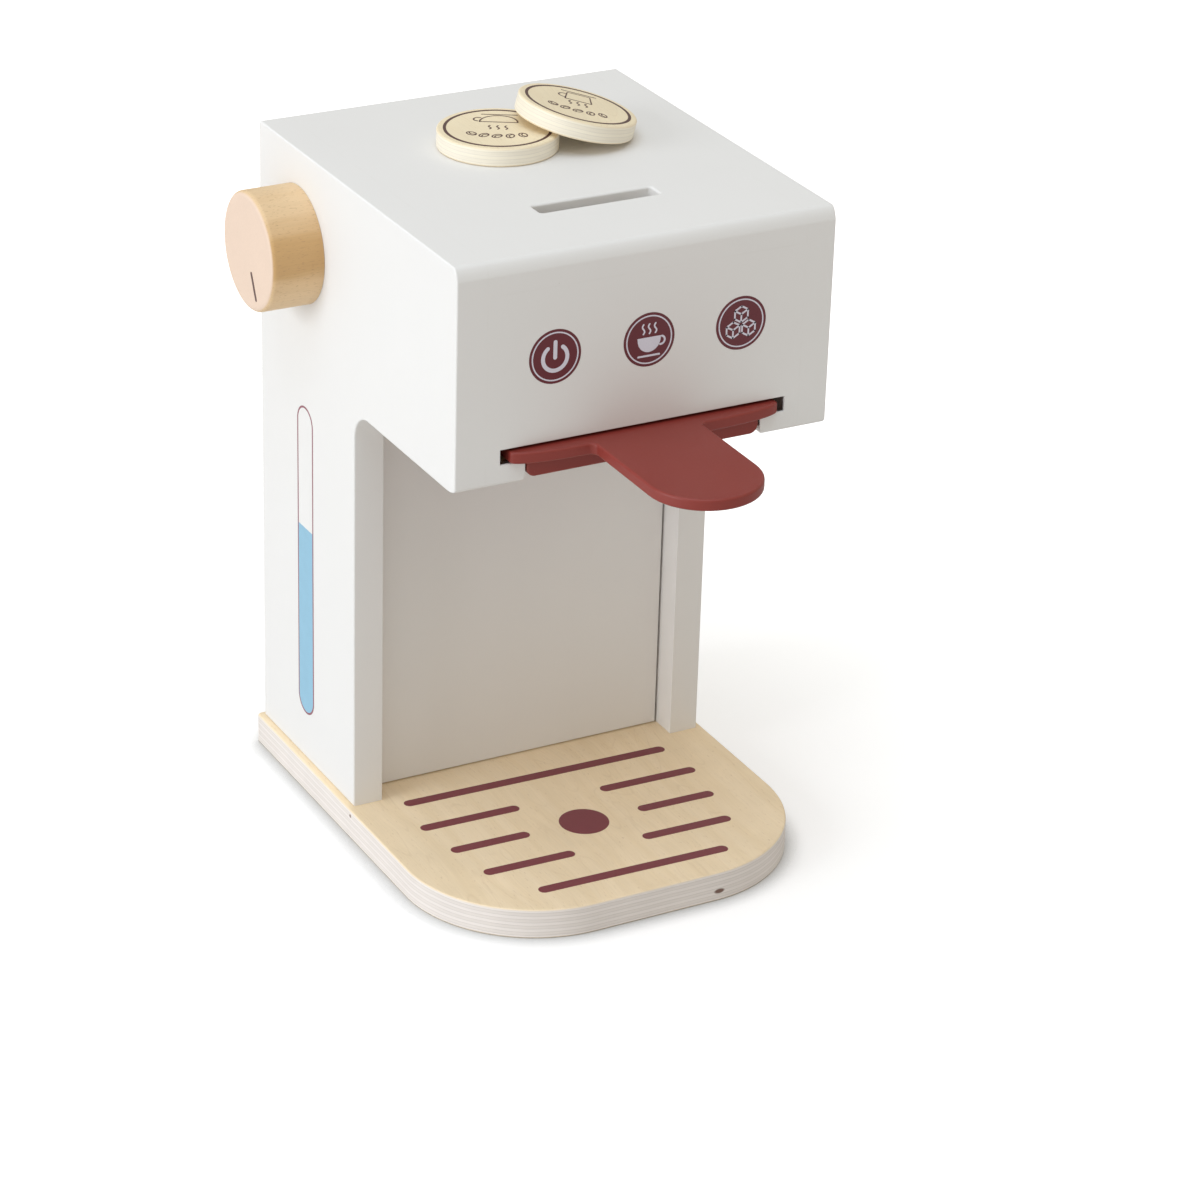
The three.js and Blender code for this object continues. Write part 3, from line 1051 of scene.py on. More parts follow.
@dataclass(frozen=True)
class BrownLacquer:
    """Satin red-brown lacquer, paler along its edges: partly rubbed wear, partly a painted highlight."""

    colour: Rgb = (0.248, 0.033, 0.024)
    # Paler edge colour: rubbed wear, and a painted highlight along the rounded rims.
    worn_and_highlight_colour: Rgb = (0.62, 0.31, 0.25)
    speck_colour: Rgb = (0.52, 0.26, 0.20)
    roughness: float = 0.46
    ior: float = 1.46
    clouds: Clouds = Clouds(size=16, contrast=0.05)
    peel: Clouds = Clouds(size=0.9, contrast=0.02)
    peel_relief: Relief = Relief(depth=0.04, strength=0.4)
    wear: Wear = Wear(radius=1.0, break_size=5)
    wear_share: float = 0.9
    wear_gloss: float = 0.12
    specks: Specks = Specks(spacing=1.9, share=0.3, reach=0.07)
    speck_share: float = 0.4

    def material(self, effects: SharedEffects) -> Material:
        """Builds the material.

        Args:
            effects: The shared effects.

        Returns:
            The material.
        """
        material, graph, shader = start_material("brown_lacquer", Roughness=self.roughness, IOR=self.ior)
        place = object_place(graph)
        cloud = self.clouds.lay(graph, effects, place)
        peel = self.peel.lay(graph, effects, place)
        worn = self.wear.lay(graph, effects, place)
        specks = graph.times(self.specks.lay(graph, effects, place), self.speck_share)
        colour = tinted(graph, self.colour, graph.times(cloud["Tone"], peel["Tone"]))
        colour = graph.mix(specks, colour, self.speck_colour)
        # Edges turn paler: part rubbed wear, part a painted highlight.
        colour = graph.mix(graph.times(worn, self.wear_share), colour, self.worn_and_highlight_colour)
        gloss = graph.swing(worn, self.wear_gloss, self.roughness)
        normal = self.peel_relief.normal(graph, peel["Height"])
        graph.feed(shader, Base_Color=colour, Roughness=gloss, Normal=normal)
        return material


@dataclass(frozen=True)
class Beech:
    """Sanded natural beech, with the short dark flecks that mark it, and a band of painted shade across the
    middle of the turned side.
    """

    colour: Rgb = (0.78, 0.575, 0.35)
    band_colour: Rgb = (0.72, 0.495, 0.265)
    # The darker band across the middle of the side is painted shade.
    shade_band_colour: Rgb = (0.565, 0.345, 0.145)
    fleck_colour: Rgb = (0.36, 0.20, 0.10)
    end_colour: Rgb = (0.78, 0.605, 0.485)
    roughness: float = 0.55
    shade_band_reach: float = 16.5
    shade_band_rise: float = 4.5
    shade_band_ragged: float = 6.0
    shade_band_range: Point = (0.35, 1.25)
    end_range: Point = (0.6, 0.95)
    band_width: float = 5.0
    band_share: float = 0.6
    side_contrast: float = 0.14
    end_contrast: float = 0.08
    fleck_width: float = 0.3
    fleck_length: float = 1.9
    fleck_chance: float = 0.42
    fleck_share: float = 0.4
    pore_size: float = 0.7
    wear: Wear = Wear(radius=1.2, break_size=9)
    wear_share: float = 0.35
    clouds: Clouds = Clouds(size=14, contrast=0.03)
    relief: Relief = Relief(depth=0.04, strength=0.4)

    def material(self, effects: SharedEffects) -> Material:
        """Builds the material.

        Args:
            effects: The shared effects.

        Returns:
            The material.
        """
        material, graph, shader = start_material("beech", Roughness=self.roughness)
        place = own_place(graph)
        grain = effects.grain.place_in(graph, {
            "Place": place, "Band Width": self.band_width * MM, "Fleck Width": self.fleck_width * MM,
            "Fleck Length": self.fleck_length * MM, "Fleck Share": self.fleck_chance})
        side = self._side(graph, place, grain)
        pores = graph.noise(place, 1 / (self.pore_size * MM), 3.0)
        end = tinted(graph, self.end_colour, graph.tone(pores, self.end_contrast))
        normal = graph.node("ShaderNodeNewGeometry").outputs["Normal"]
        across = graph.math("ABSOLUTE", graph.part(normal, Axis.X))
        colour = graph.mix(graph.step(across, *self.end_range), side, end)
        worn = graph.times(self.wear.lay(graph, effects, place), self.wear_share)
        colour = tinted(graph, graph.mix(worn, colour, self.end_colour),
                        self.clouds.lay(graph, effects, place)["Tone"])
        graph.feed(shader, Base_Color=colour, Normal=self.relief.normal(graph, grain["Fibres"]))
        return material

    def _side(self, graph: Graph, place: Value, grain: Outputs) -> Socket:
        """Colours the turned side, along the grain, with a band of painted shade across its middle.

        Args:
            graph: The material's nodes.
            place: The place on the piece.
            grain: The grain's values.

        Returns:
            The colour.
        """
        side = graph.mix(graph.times(grain["Bands"], self.band_share), self.colour, self.band_colour)
        # A darker band about a height above the axis, ragged by the grain bands: painted shade.
        up = graph.math("SUBTRACT", graph.part(place, Axis.X), self.shade_band_rise * MM)
        height = graph.math("ABSOLUTE", up)
        ragged = graph.swing(grain["Bands"], self.shade_band_ragged * MM, height)
        low, high = (share * self.shade_band_reach * MM for share in self.shade_band_range)
        shade_band = graph.rest(graph.step(ragged, low, high))
        side = graph.mix(shade_band, side, self.shade_band_colour)
        side = tinted(graph, side, graph.tone(grain["Fibres"], self.side_contrast))
        return graph.mix(graph.times(grain["Flecks"], self.fleck_share), side, self.fleck_colour)


@dataclass(frozen=True)
class ZincSteel:
    """Zinc plated steel, for the screws below the base."""

    colour: Rgb = (0.60, 0.61, 0.62)
    least_roughness: float = 0.25
    roughness_spread: float = 0.25
    clouds: Clouds = Clouds(size=1.6, contrast=0.12)

    def material(self, effects: SharedEffects) -> Material:
        """Builds the material.

        Args:
            effects: The shared effects.

        Returns:
            The material.
        """
        material, graph, shader = start_material("zinc_steel", Metallic=1.0)
        cloud = self.clouds.lay(graph, effects, object_place(graph))
        gloss = graph.swing(cloud["Height"], self.roughness_spread, self.least_roughness)
        graph.feed(shader, Base_Color=tinted(graph, self.colour, cloud["Tone"]), Roughness=gloss)
        return material


@dataclass(frozen=True)
class Ink:
    """A printed colour, slightly uneven as screen print is."""

    name: str
    colour: Rgb
    roughness: float = 0.5
    clouds: Clouds = Clouds(size=5, contrast=0.05)
    fine_clouds: Clouds = Clouds(size=0.5, contrast=0.05)

    def material(self, effects: SharedEffects) -> Material:
        """Builds the material.

        Args:
            effects: The shared effects.

        Returns:
            The material.
        """
        material, graph, shader = start_material(self.name, Roughness=self.roughness)
        place = object_place(graph)
        cloud = self.clouds.lay(graph, effects, place)
        fine = self.fine_clouds.lay(graph, effects, place)
        graph.feed(shader, Base_Color=tinted(graph, self.colour, graph.times(cloud["Tone"], fine["Tone"])))
        return material


class Finishes:
    """Every material of the object, built once."""

    def __init__(self, base_thickness: float, disc_thickness: float) -> None:
        """Builds the materials.

        Args:
            base_thickness: The base plate's thickness, in millimetres.
            disc_thickness: The coffee discs' thickness, in millimetres.
        """
        effects = SharedEffects()
        front_knot = Knot((26.8, -94.3, 4.0), (2.7, 2.7, 1.25))
        side_knot = Knot((-77.5, 6.6, 9.7), (1.0, 0.9, 0.9))
        base_ply = BirchPly("birch_ply", base_thickness, 9, knots=(front_knot, side_knot))
        disc_ply = BirchPly(
            "disc_ply", disc_thickness, 5, face_colour=(0.88, 0.76, 0.54), band_colour=(0.84, 0.71, 0.49),
            light_ply=(0.88, 0.82, 0.68), dark_ply=(0.85, 0.79, 0.66), glue_colour=(0.52, 0.48, 0.46),
            veneer_colour=(0.84, 0.68, 0.46), line_share=0.3)
        self.paint = PaintedBoard().material(effects)
        self.board = BareBoard().material(effects)
        self.base_ply = base_ply.material(effects)
        self.disc_ply = disc_ply.material(effects)
        self.lacquer = BrownLacquer().material(effects)
        self.beech = Beech().material(effects)
        self.zinc = ZincSteel().material(effects)
        self.burgundy = Ink("burgundy_ink", (0.132, 0.019, 0.028)).material(effects)
        self.stripe = Ink("stripe_ink", (0.207, 0.041, 0.053)).material(effects)
        self.pale = Ink("pale_ink", (0.70, 0.68, 0.77)).material(effects)
        self.mauve = Ink("mauve_ink", (0.30, 0.11, 0.14)).material(effects)
        self.water = Ink("water_ink", (0.275, 0.505, 0.665)).material(effects)
        self.brown = Ink("brown_ink", (0.085, 0.036, 0.032)).material(effects)
        self.grey = Ink("grey_ink", (0.115, 0.058, 0.052)).material(effects)


class Print:
    """Thin printed shapes, drawn in millimetres on a face of the object."""

    thickness = 0.06
    sunk = 0.02

    def __init__(self) -> None:
        """Starts an empty print."""
        self.solid = bmesh.new()

    def shape(self, outline: Outline, lift: float = 0.0) -> "Print":
        """Adds a filled shape.

        Args:
            outline: Its outline.
            lift: How far its top lies above the first layer's.

        Returns:
            The print.
        """
        absorb(self.solid, mesh_of(prism(outline, Axis.Z, -self.sunk, self.thickness + lift), "part"))
        return self

    def spot(self, centre: Point, radius: float) -> "Print":
        """Adds a filled circle."""
        return self.shape(Outline(64).arc(centre, radius, 0, 360))

    def stroke(self, points: Sequence[Point], width: float, lift: float = 0.0) -> "Print":
        """Adds a line with round ends.

        Args:
            points: The line's points.
            width: Its width.
            lift: How far its top lies above the first layer's.

        Returns:
            The print.
        """
        line = [Vector(point) for point in points]
        half = width / 2
        normals = []
        for index in range(len(line)):
            run = line[min(index + 1, len(line) - 1)] - line[max(index - 1, 0)]
            normals.append(Vector((-run.y, run.x)).normalized())
        outline = Outline(8)
        for point, normal in zip(line, normals):
            outline.to(*(point - normal * half))
        heading = math.degrees(math.atan2(-normals[-1].y, -normals[-1].x))
        outline.arc(tuple(line[-1]), half, heading, heading + 180)
        for point, normal in reversed(list(zip(line, normals))):
            outline.to(*(point + normal * half))
        heading = math.degrees(math.atan2(normals[0].y, normals[0].x))
        outline.arc(tuple(line[0]), half, heading, heading + 180)
        return self.shape(outline, lift)

    def loop(self, outline: Outline, width: float, lift: float = 0.0) -> "Print":
        """Adds a closed line inside an outline.

        Args:
            outline: The line's outer side, drawn anticlockwise.
            width: The line's width.
            lift: How far its top lies above the first layer's.

        Returns:
            The print.
        """
        outer = [Vector(point) for point in outline.clean()]
        count = len(outer)
        inner = []
        for index, point in enumerate(outer):
            run = outer[(index + 1) % count] - outer[index - 1]
            inner.append(point + Vector((-run.y, run.x)).normalized() * width)
        top, bottom = (self.thickness + lift) * MM, -self.sunk * MM
        rims = [[self.solid.verts.new((p.x * MM, p.y * MM, z)) for p in side]
                for side in (outer, inner) for z in (bottom, top)]
        outer_low, outer_high, inner_low, inner_high = rims
        for first, second in ((outer_low, outer_high), (outer_high, inner_high),
                              (inner_high, inner_low), (inner_low, outer_low)):
            for index in range(count):
                after = (index + 1) % count
                self.solid.faces.new((first[index], first[after], second[after], second[index]))
        return self

    def ring(self, radius: float, width: float, lift: float = 0.0) -> "Print":
        """Adds a closed ring of an outer radius about the middle."""
        return self.loop(Outline(96).arc((0, 0), radius, 0, 360), width, lift)

    def mesh(self, name: str, place: Matrix) -> bpy.types.Mesh:
        """Returns the print's mesh in its place.

        Args:
            name: The mesh's name.
            place: Where the print's middle lies on the object, in metres.

        Returns:
            The mesh.
        """
        mesh = mesh_of(self.solid, name)
        mesh.transform(place)
        return mesh


def face_place(middle: Sequence[float], across: Sequence[float], up: Sequence[float]) -> Matrix:
    """Returns the place of a print on a face.

    Args:
        middle: The print's middle, in millimetres.
        across: The direction in which the print runs to the right.
        up: The direction in which it runs up.

    Returns:
        The place, with the face's outward direction as Z.
    """
    right, top = Vector(across), Vector(up)
    turn = Matrix((right, top, right.cross(top))).transposed().to_4x4()
    return Matrix.Translation(Vector(middle) * MM) @ turn


def wave(start: Point, height: float, swing: float, steps: int = 10) -> list[Point]:
    """Returns the points of one steam line that rises and swings to both sides."""
    share = [step / steps for step in range(steps + 1)]
    return [(start[0] + swing * math.sin(2 * math.pi * s), start[1] + height * s) for s in share]


def curve_points(centre: Point, radius: float, start: float, end: float, steps: int = 24) -> list[Point]:
    """Returns the points of an open arc, with its angles in degrees."""
    return Outline(steps).arc(centre, radius, start, end).points


class RepeatTree:
    """A geometry node tree with named inputs, run on an object and then applied."""

    def __init__(self, name: str, inputs: dict[str, str]) -> None:
        """Starts the tree.

        Args:
            name: The tree's name.
            inputs: The socket type of each named input.
        """
        self.tree = bpy.data.node_groups.new(name, "GeometryNodeTree")
        sockets = self.tree.interface
        sockets.new_socket(name="Geometry", in_out="INPUT", socket_type="NodeSocketGeometry")
        for key, kind in inputs.items():
            sockets.new_socket(name=key, in_out="INPUT", socket_type=kind)
        sockets.new_socket(name="Geometry", in_out="OUTPUT", socket_type="NodeSocketGeometry")
        self.graph = Graph(self.tree)
        self.given = self.graph.node("NodeGroupInput").outputs
        self.last = self.graph.node("NodeGroupOutput")

    def finish(self, instances: Socket) -> None:
        """Realizes the instances, sets their material and puts them out.

        Args:
            instances: The instances.
        """
        real = self.graph.node("GeometryNodeRealizeInstances", {0: instances}).outputs[0]
        painted = self.graph.node("GeometryNodeSetMaterial", {0: real, "Material": self.given["Material"]})
        self.graph.feed(self.last, Geometry=painted.outputs[0])

    def run(self, seeds: Sequence[Sequence[float]], values: dict[str, object]) -> bpy.types.Mesh:
        """Runs the tree on loose points.

        Args:
            seeds: The points that the tree starts from, in millimetres.
            values: A value for each named input.

        Returns:
            A plain mesh of the result.
        """
        points = bpy.data.meshes.new("seeds")
        points.from_pydata([tuple(c * MM for c in seed) for seed in seeds], [], [])
        carrier = linked("carrier", points)
        step = carrier.modifiers.new("repeat", "NODES")
        step.node_group = self.tree
        for item in self.tree.interface.items_tree:
            if item.in_out == "INPUT" and item.name in values:
                step[item.identifier] = values[item.name]
        mesh = evaluated_mesh(carrier)
        carrier.modifiers.remove(step)
        bpy.data.objects.remove(carrier)
        return mesh


def stripe_tree() -> RepeatTree:
    """Builds the tree that lays a stripe with round ends at each point, turned about Z.

    Returns:
        The tree.
    """
    repeat = RepeatTree("Printed stripes", {
        "Length": "NodeSocketFloat", "Width": "NodeSocketFloat", "Thickness": "NodeSocketFloat",
        "Turn": "NodeSocketFloat", "Material": "NodeSocketMaterial"})
    graph, given = repeat.graph, repeat.given
    sides = {"Width": given["Length"], "Height": given["Width"]}
    sheet = graph.node("GeometryNodeCurvePrimitiveQuadrilateral", sides).outputs[0]
    corners = {"Curve": sheet, "Radius": graph.times(given["Width"], 0.4999), "Count": 8}
    round_ends = graph.node("GeometryNodeFilletCurve", corners, mode="POLY").outputs[0]
    filled = graph.node("GeometryNodeFillCurve", {0: round_ends}, mode="NGONS").outputs[0]
    lift = {"Mesh": filled, "Offset Scale": given["Thickness"], "Individual": False}
    raised = graph.node("GeometryNodeExtrudeMesh", lift, mode="FACES")
    under = graph.node("GeometryNodeFlipFaces", {0: filled}).outputs[0]
    both = graph.node("GeometryNodeJoinGeometry", {0: raised.outputs[0]})
    graph.tree.links.new(under, both.inputs[0])
    whole = graph.node("GeometryNodeMergeByDistance", {0: both.outputs[0], "Distance": WELD}).outputs[0]
    turn = graph.joined(0.0, 0.0, given["Turn"])
    laid = graph.node("GeometryNodeInstanceOnPoints", {
        "Points": given["Geometry"], "Instance": whole, "Rotation": turn})
    repeat.finish(laid.outputs[0])
    return repeat


def copy_tree(name: str) -> RepeatTree:
    """Builds the tree that sets a copy of an object on each point, turned by a seeded chance about Z.

    Args:
        name: The tree's name.

    Returns:
        The tree.
    """
    repeat = RepeatTree(name, {
        "Copy": "NodeSocketObject", "Least Turn": "NodeSocketFloat", "Most Turn": "NodeSocketFloat",
        "Seed": "NodeSocketInt", "Material": "NodeSocketMaterial"})
    graph, given = repeat.graph, repeat.given
    original = graph.node("GeometryNodeObjectInfo", {"Object": given["Copy"]}).outputs["Geometry"]
    bounds = {2: given["Least Turn"], 3: given["Most Turn"], "Seed": given["Seed"]}
    chance = graph.node("FunctionNodeRandomValue", bounds, data_type="FLOAT")
    turn = graph.joined(0.0, 0.0, chance.outputs[1])
    placed = graph.node("GeometryNodeInstanceOnPoints", {
        "Points": given["Geometry"], "Instance": original, "Rotation": turn})
    repeat.finish(placed.outputs[0])
    return repeat


@dataclass(frozen=True)
class Lamp:
    """A soft square lamp that faces the object, in millimetres and watts."""

    name: str
    place: Triple
    power: float
    colour: Rgb
    side: float = 1500
    aim_height: float = 120

    def hang(self) -> None:
        """Hangs the lamp in its place."""
        data = bpy.data.lights.new(self.name, "AREA")
        data.energy = self.power
        data.color = self.colour
        data.size = self.side * MM
        lamp = linked(self.name, data)
        lamp.location = Vector(self.place) * MM
        aim = Vector((0, 0, self.aim_height * MM)) - lamp.location
        lamp.rotation_euler = aim.to_track_quat("-Z", "Y").to_euler()


@dataclass(frozen=True)
class Studio:
    """The camera, the lamps, the floor and the white surroundings."""

    camera_place: Triple = (-638.8, -1196.9, 757.7)
    azimuth: float = -28.994
    elevation: float = 26.245
    roll: float = 1.787
    lens: float = 119.8
    sensor: float = 36.0
    nearest: float = 50.0
    sky: float = 0.62
    sky_colour: Rgb = (1.0, 0.94, 0.835)
    key_lamp: Lamp = Lamp("key_lamp", (-2600, -100, 750), 37.5, (0.90, 0.945, 1.0))
    top_lamp: Lamp = Lamp("top_lamp", (-400, -300, 2100), 16.3, (0.70, 0.84, 1.0))
    floor_size: float = 6000
    floor_tone: float = 0.72
    floor_roughness: float = 0.9
    floor_gloss: float = 0.2
    near_lift: float = 0.42
    far_lift: float = 0.35
    lift_start: float = 100.0
    lift_end: float = 450.0
    contact_reach: float = 13.0
    contact_shade: float = 0.2
    contact_closed: float = 0.42
    contact_open: float = 0.92

    def build(self) -> None:
        """Builds the whole studio."""
        bpy.context.scene.view_settings.view_transform = "Standard"
        self._camera()
        self._world()
        self._floor()
        self.key_lamp.hang()
        self.top_lamp.hang()

    def _camera(self) -> None:
        """Sets the camera at the photograph's angle."""
        a, e, r = (math.radians(angle) for angle in (self.azimuth, self.elevation, self.roll))
        back = Vector((math.sin(a) * math.cos(e), -math.cos(a) * math.cos(e), math.sin(e)))
        level = Vector((0, 0, 1)).cross(back).normalized()
        upright = back.cross(level)
        right = level * math.cos(r) + upright * math.sin(r)
        up = upright * math.cos(r) - level * math.sin(r)
        data = bpy.data.cameras.new("camera")
        data.lens = self.lens
        data.sensor_width = self.sensor
        data.clip_start = self.nearest * MM
        camera = linked("camera", data)
        turn = Matrix((right, up, back)).transposed().to_4x4()
        camera.matrix_world = Matrix.Translation(Vector(self.camera_place) * MM) @ turn
        bpy.context.scene.camera = camera

    def _world(self) -> None:
        """Lights the object evenly, and shows white to the camera and through glass."""
        world = bpy.data.worlds.new("white_surroundings")
        world.use_nodes = True
        graph = Graph(world.node_tree)
        path = graph.node("ShaderNodeLightPath").outputs
        seen = graph.math("MAXIMUM", path["Is Camera Ray"], path["Is Transmission Ray"])
        colour = graph.mix(seen, self.sky_colour, (1, 1, 1))
        strength = graph.math("MAXIMUM", seen, self.sky)
        graph.feed(world.node_tree.nodes["Background"], Color=colour, Strength=strength)
        bpy.context.scene.world = world

    def _floor(self) -> None:
        """Lays a pale floor that is white to the camera except in the object's shadow."""
        half = self.floor_size / 2
        mesh = bpy.data.meshes.new("floor")
        corners = [(-half, -half), (half, -half), (half, half), (-half, half)]
        mesh.from_pydata([(x * MM, y * MM, 0) for x, y in corners], [], [(0, 1, 2, 3)])
        material, graph, shader = start_material(
            "floor_white", Roughness=self.floor_roughness, Specular_IOR_Level=self.floor_gloss,
            Emission_Color=(1, 1, 1, 1))
        camera_ray = graph.node("ShaderNodeLightPath").outputs["Is Camera Ray"]
        away = graph.vector("LENGTH", object_place(graph)).outputs["Value"]
        far = graph.step(away, self.lift_start * MM, self.lift_end * MM)
        share = graph.swing(far, self.far_lift, self.near_lift)
        near = graph.node("ShaderNodeAmbientOcclusion", {"Distance": self.contact_reach * MM}, samples=8)
        clear = graph.step(near.outputs["AO"], self.contact_closed, self.contact_open)
        shade = graph.times(graph.rest(clear), camera_ray)
        tone = (self.floor_tone,) * 3
        dark = (self.floor_tone * (1 - self.contact_shade),) * 3
        lift = graph.times(graph.times(camera_ray, clear), share)
        graph.feed(shader, Base_Color=graph.mix(shade, tone, dark), Emission_Strength=lift)
        mesh.materials.append(material)
        linked("floor", mesh)


@dataclass
class Housing:
    """The painted boards above the base, with their prints."""

    finishes: Finishes
    half_width: float = 75.0
    board: float = 12.0
    front: float = HEAD_FRONT
    back: float = 92.0
    column_front: float = 9.0
    bottom: float = 12.0
    head_bottom: float = 176.2
    rail_top: float = 184.8
    mouth_top: float = 190.5
    top_underside: float = 248.5
    top: float = 260.5
    top_front_reach: Point = (3.75, 8.2)
    top_front_turn: float = 69.4
    top_back_radius: float = 1.5
    head_lower_reach: Point = (6.0, 2.4)
    bay_radius: float = 11.5
    mouth_half: float = 57.2
    notch_half: float = 47.5
    stub_radius: float = 3.5
    edge: float = 0.7
    rim_edge: float = 0.9
    seam_edge: float = 0.35
    side_gap: float = 0.85
    foot_gap: float = 0.45
    lip: float = 0.9
    pocket: float = 3.0
    ledge: float = 4.5
    slot: Triple = (48.0, 7.8, 1.2)
    slot_middle: float = -32.3
    over: float = 1.0
    icon_radius: float = 10.15
    icon_pitch: float = 37.1
    icon_middle: Point = (0.4, 222.4)
    icon_margin: float = 1.0
    icon_line: float = 0.5
    gauge_range: Point = (31.6, 160.9)
    gauge_level: float = 110.8
    gauge_middle: float = 51.9
    gauge_width: float = 14.0
    gauge_line: float = 0.8

    def build(self) -> None:
        """Builds every board and print of the housing."""
        for side in (-1, 1):
            self._side_panel(side)
        self._top_panel()
        self._front_panel()
        self._plain_board("recess_panel", self.side_gap, self.foot_gap)
        self._plain_board("back_panel", 0.0, 0.0)
        self._inner_boards()
        self._icons()
        self._water_gauge()

    def _top_line(self, outline: Outline) -> None:
        """Adds the top from back to front: a small round edge, then a steep one that ends in a crease.

        Args:
            outline: The side view that is being drawn.
        """
        back, (deep, tall) = self.top_back_radius, self.top_front_reach
        start = self.front + deep * math.sin(math.radians(self.top_front_turn))
        outline.arc((self.back - back, self.top - back), back, 0, 90)
        outline.arc((start, self.top - tall), (deep, tall), 90, 90 + self.top_front_turn)

    def _profile(self) -> Outline:
        """Draws the housing's side view, with the depth across and the height up.

        Returns:
            The side view.
        """
        outline = Outline()
        outline.to(self.column_front, self.bottom)
        outline.to(self.back, self.bottom)
        self._top_line(outline)
        deep, tall = self.head_lower_reach
        outline.arc((self.front + deep, self.head_bottom + tall), (deep, tall), 180, 270)
        outline.arc((self.column_front - self.bay_radius, self.head_bottom - self.bay_radius),
                    self.bay_radius, 90, 0)
        return outline

    def _painted(self, name: str, solid: Solid) -> None:
        """Finishes one painted board that stands for the node of its name."""
        mesh = mesh_of(solid, name)
        finished_piece(name + "_painted", mesh, self.finishes.paint, "housing", [name])

    def _side_panel(self, side: int) -> None:
        """Builds one side panel.

        Args:
            side: -1 for the left panel, 1 for the right one.
        """
        inner, outer = side * (self.half_width - self.board), side * self.half_width
        panel = prism(self._profile(), Axis.X, inner, outer)
        bevel(panel, on_plane(Axis.X, outer), self.edge)
        column_edge = on_plane(Axis.Y, self.column_front)

        def at_column(edge: Edge) -> bool:
            """Picks the column's inner front edge."""
            return on_plane(Axis.X, inner)(edge) and column_edge(edge)

        bevel(panel, at_column, self.edge)

        def at_foot(edge: Edge) -> bool:
            """Picks the edges of the foot that stand on the base in sight."""
            front = min(vert.co.y for vert in edge.verts) < (self.column_front + 1) * MM
            return front and on_plane(Axis.Z, self.bottom)(edge)

        bevel(panel, at_foot, self.seam_edge, 2)
        if side < 0:
            bore = Outline(64).arc(KNOB_AXIS, KNOB_BORE, 0, 360)
            panel = carve(panel, [prism(bore, Axis.X, outer - self.over, inner + self.over)])
        self._painted("left_side_panel" if side < 0 else "right_side_panel", panel)

    def _top_panel(self) -> None:
        """Builds the top board with the disc slot."""
        inner = self.half_width - self.board
        outline = Outline(12)
        outline.to(self.front, self.top_underside)
        outline.to(self.back, self.top_underside)
        self._top_line(outline)
        panel = prism(outline, Axis.X, -inner, inner)
        length, width, corner = self.slot
        opening = rounded_rectangle(length, width, corner, (0, self.slot_middle))
        tool = prism(opening, Axis.Z, self.top_underside - self.over, self.top + self.over)
        panel = carve(panel, [tool])
        bevel(panel, on_patch(Axis.Z, self.top, (0, self.slot_middle), (length, width)), self.rim_edge)
        self._painted("top_panel", panel)

    def _front_panel(self) -> None:
        """Builds the front board with the slot and the notch of the mouth."""
        inner = self.half_width - self.board
        outline = Outline(10)
        stub_centre = self.notch_half + self.stub_radius
        stub_height = self.head_bottom + self.stub_radius
        outline.to(-inner, self.top_underside).to(-inner, self.head_bottom)
        outline.arc((-stub_centre, stub_height), self.stub_radius, -90, 0)
        outline.to(-self.notch_half, self.rail_top).to(-self.mouth_half, self.rail_top)
        outline.to(-self.mouth_half, self.mouth_top).to(self.mouth_half, self.mouth_top)
        outline.to(self.mouth_half, self.rail_top).to(self.notch_half, self.rail_top)
        outline.arc((stub_centre, stub_height), self.stub_radius, 180, 270)
        outline.to(inner, self.head_bottom).to(inner, self.top_underside)
        board = prism(outline, Axis.Y, self.front, self.front + self.board)
        slab = prism(self._profile(), Axis.X, -inner, inner)
        panel = carve(board, [slab], "INTERSECT")
        wide = self.mouth_half + self.pocket
        hollow = Outline()
        hollow.to(-wide, self.rail_top - self.ledge).to(wide, self.rail_top - self.ledge)
        hollow.to(wide, self.mouth_top + self.pocket).to(-wide, self.mouth_top + self.pocket)
        back = self.front + self.board + self.over
        panel = carve(panel, [prism(hollow, Axis.Y, self.front + self.lip, back)])
        middle = (0, (self.mouth_top + self.rail_top) / 2)
        reach = (self.mouth_half + self.edge, (self.mouth_top - self.rail_top) / 2 + self.edge)
        bevel(panel, on_patch(Axis.Y, self.front, middle, reach), self.seam_edge, 3)
        self._painted("front_panel", panel)

    def _plain_board(self, name: str, side_gap: float, foot_gap: float) -> None:
        """Builds a plain painted board from its node's corners, with slightly eased edges.

        Args:
            name: The board's node.
            side_gap: How far it stays clear of the right side panel.
            foot_gap: How far it stays clear of the base below it.
        """
        low, high = (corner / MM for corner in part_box(name))
        high.x -= side_gap
        low.z += foot_gap
        outline = Outline()
        outline.to(low.x, low.y).to(high.x, low.y).to(high.x, high.y).to(low.x, high.y)
        panel = prism(outline, Axis.Z, low.z, high.z)
        bevel(panel, turning(SMOOTH_ANGLE), self.seam_edge, 3)
        self._painted(name, panel)

    def _inner_boards(self) -> None:
        """Gives the boards and pins inside the head their finishes."""
        for node in ("left_rail", "right_rail", "front_chute_wall", "rear_chute_wall", "left_chute_cheek",
                     "right_chute_cheek", "slider_keeper"):
            dress_node(node, self.finishes.board)
        for node in ("left_stop_pin", "right_stop_pin"):
            build_dowel(node, Axis.Z, self.finishes.beech, "housing")

    def _icons(self) -> None:
        """Prints the three round button signs on the head's front."""
        shift, height = self.icon_middle
        ground, lines = Print(), Print()
        for index, draw in enumerate((self._power_sign, self._cup_sign, self._ice_sign)):
            middle = (index - 1) * self.icon_pitch + shift
            ground.spot((middle, 0), self.icon_radius)
            sign = Print().ring(self.icon_radius - self.icon_margin, self.icon_line, Print.thickness)
            draw(sign)
            absorb(lines.solid, sign.mesh("sign", Matrix.Translation((middle * MM, 0, 0))))
        place = face_place((0, self.front, height), (1, 0, 0), (0, 0, 1))
        finished_piece("button_grounds", ground.mesh("grounds", place), self.finishes.burgundy, "housing")
        finished_piece("button_signs", lines.mesh("signs", place), self.finishes.pale, "housing")

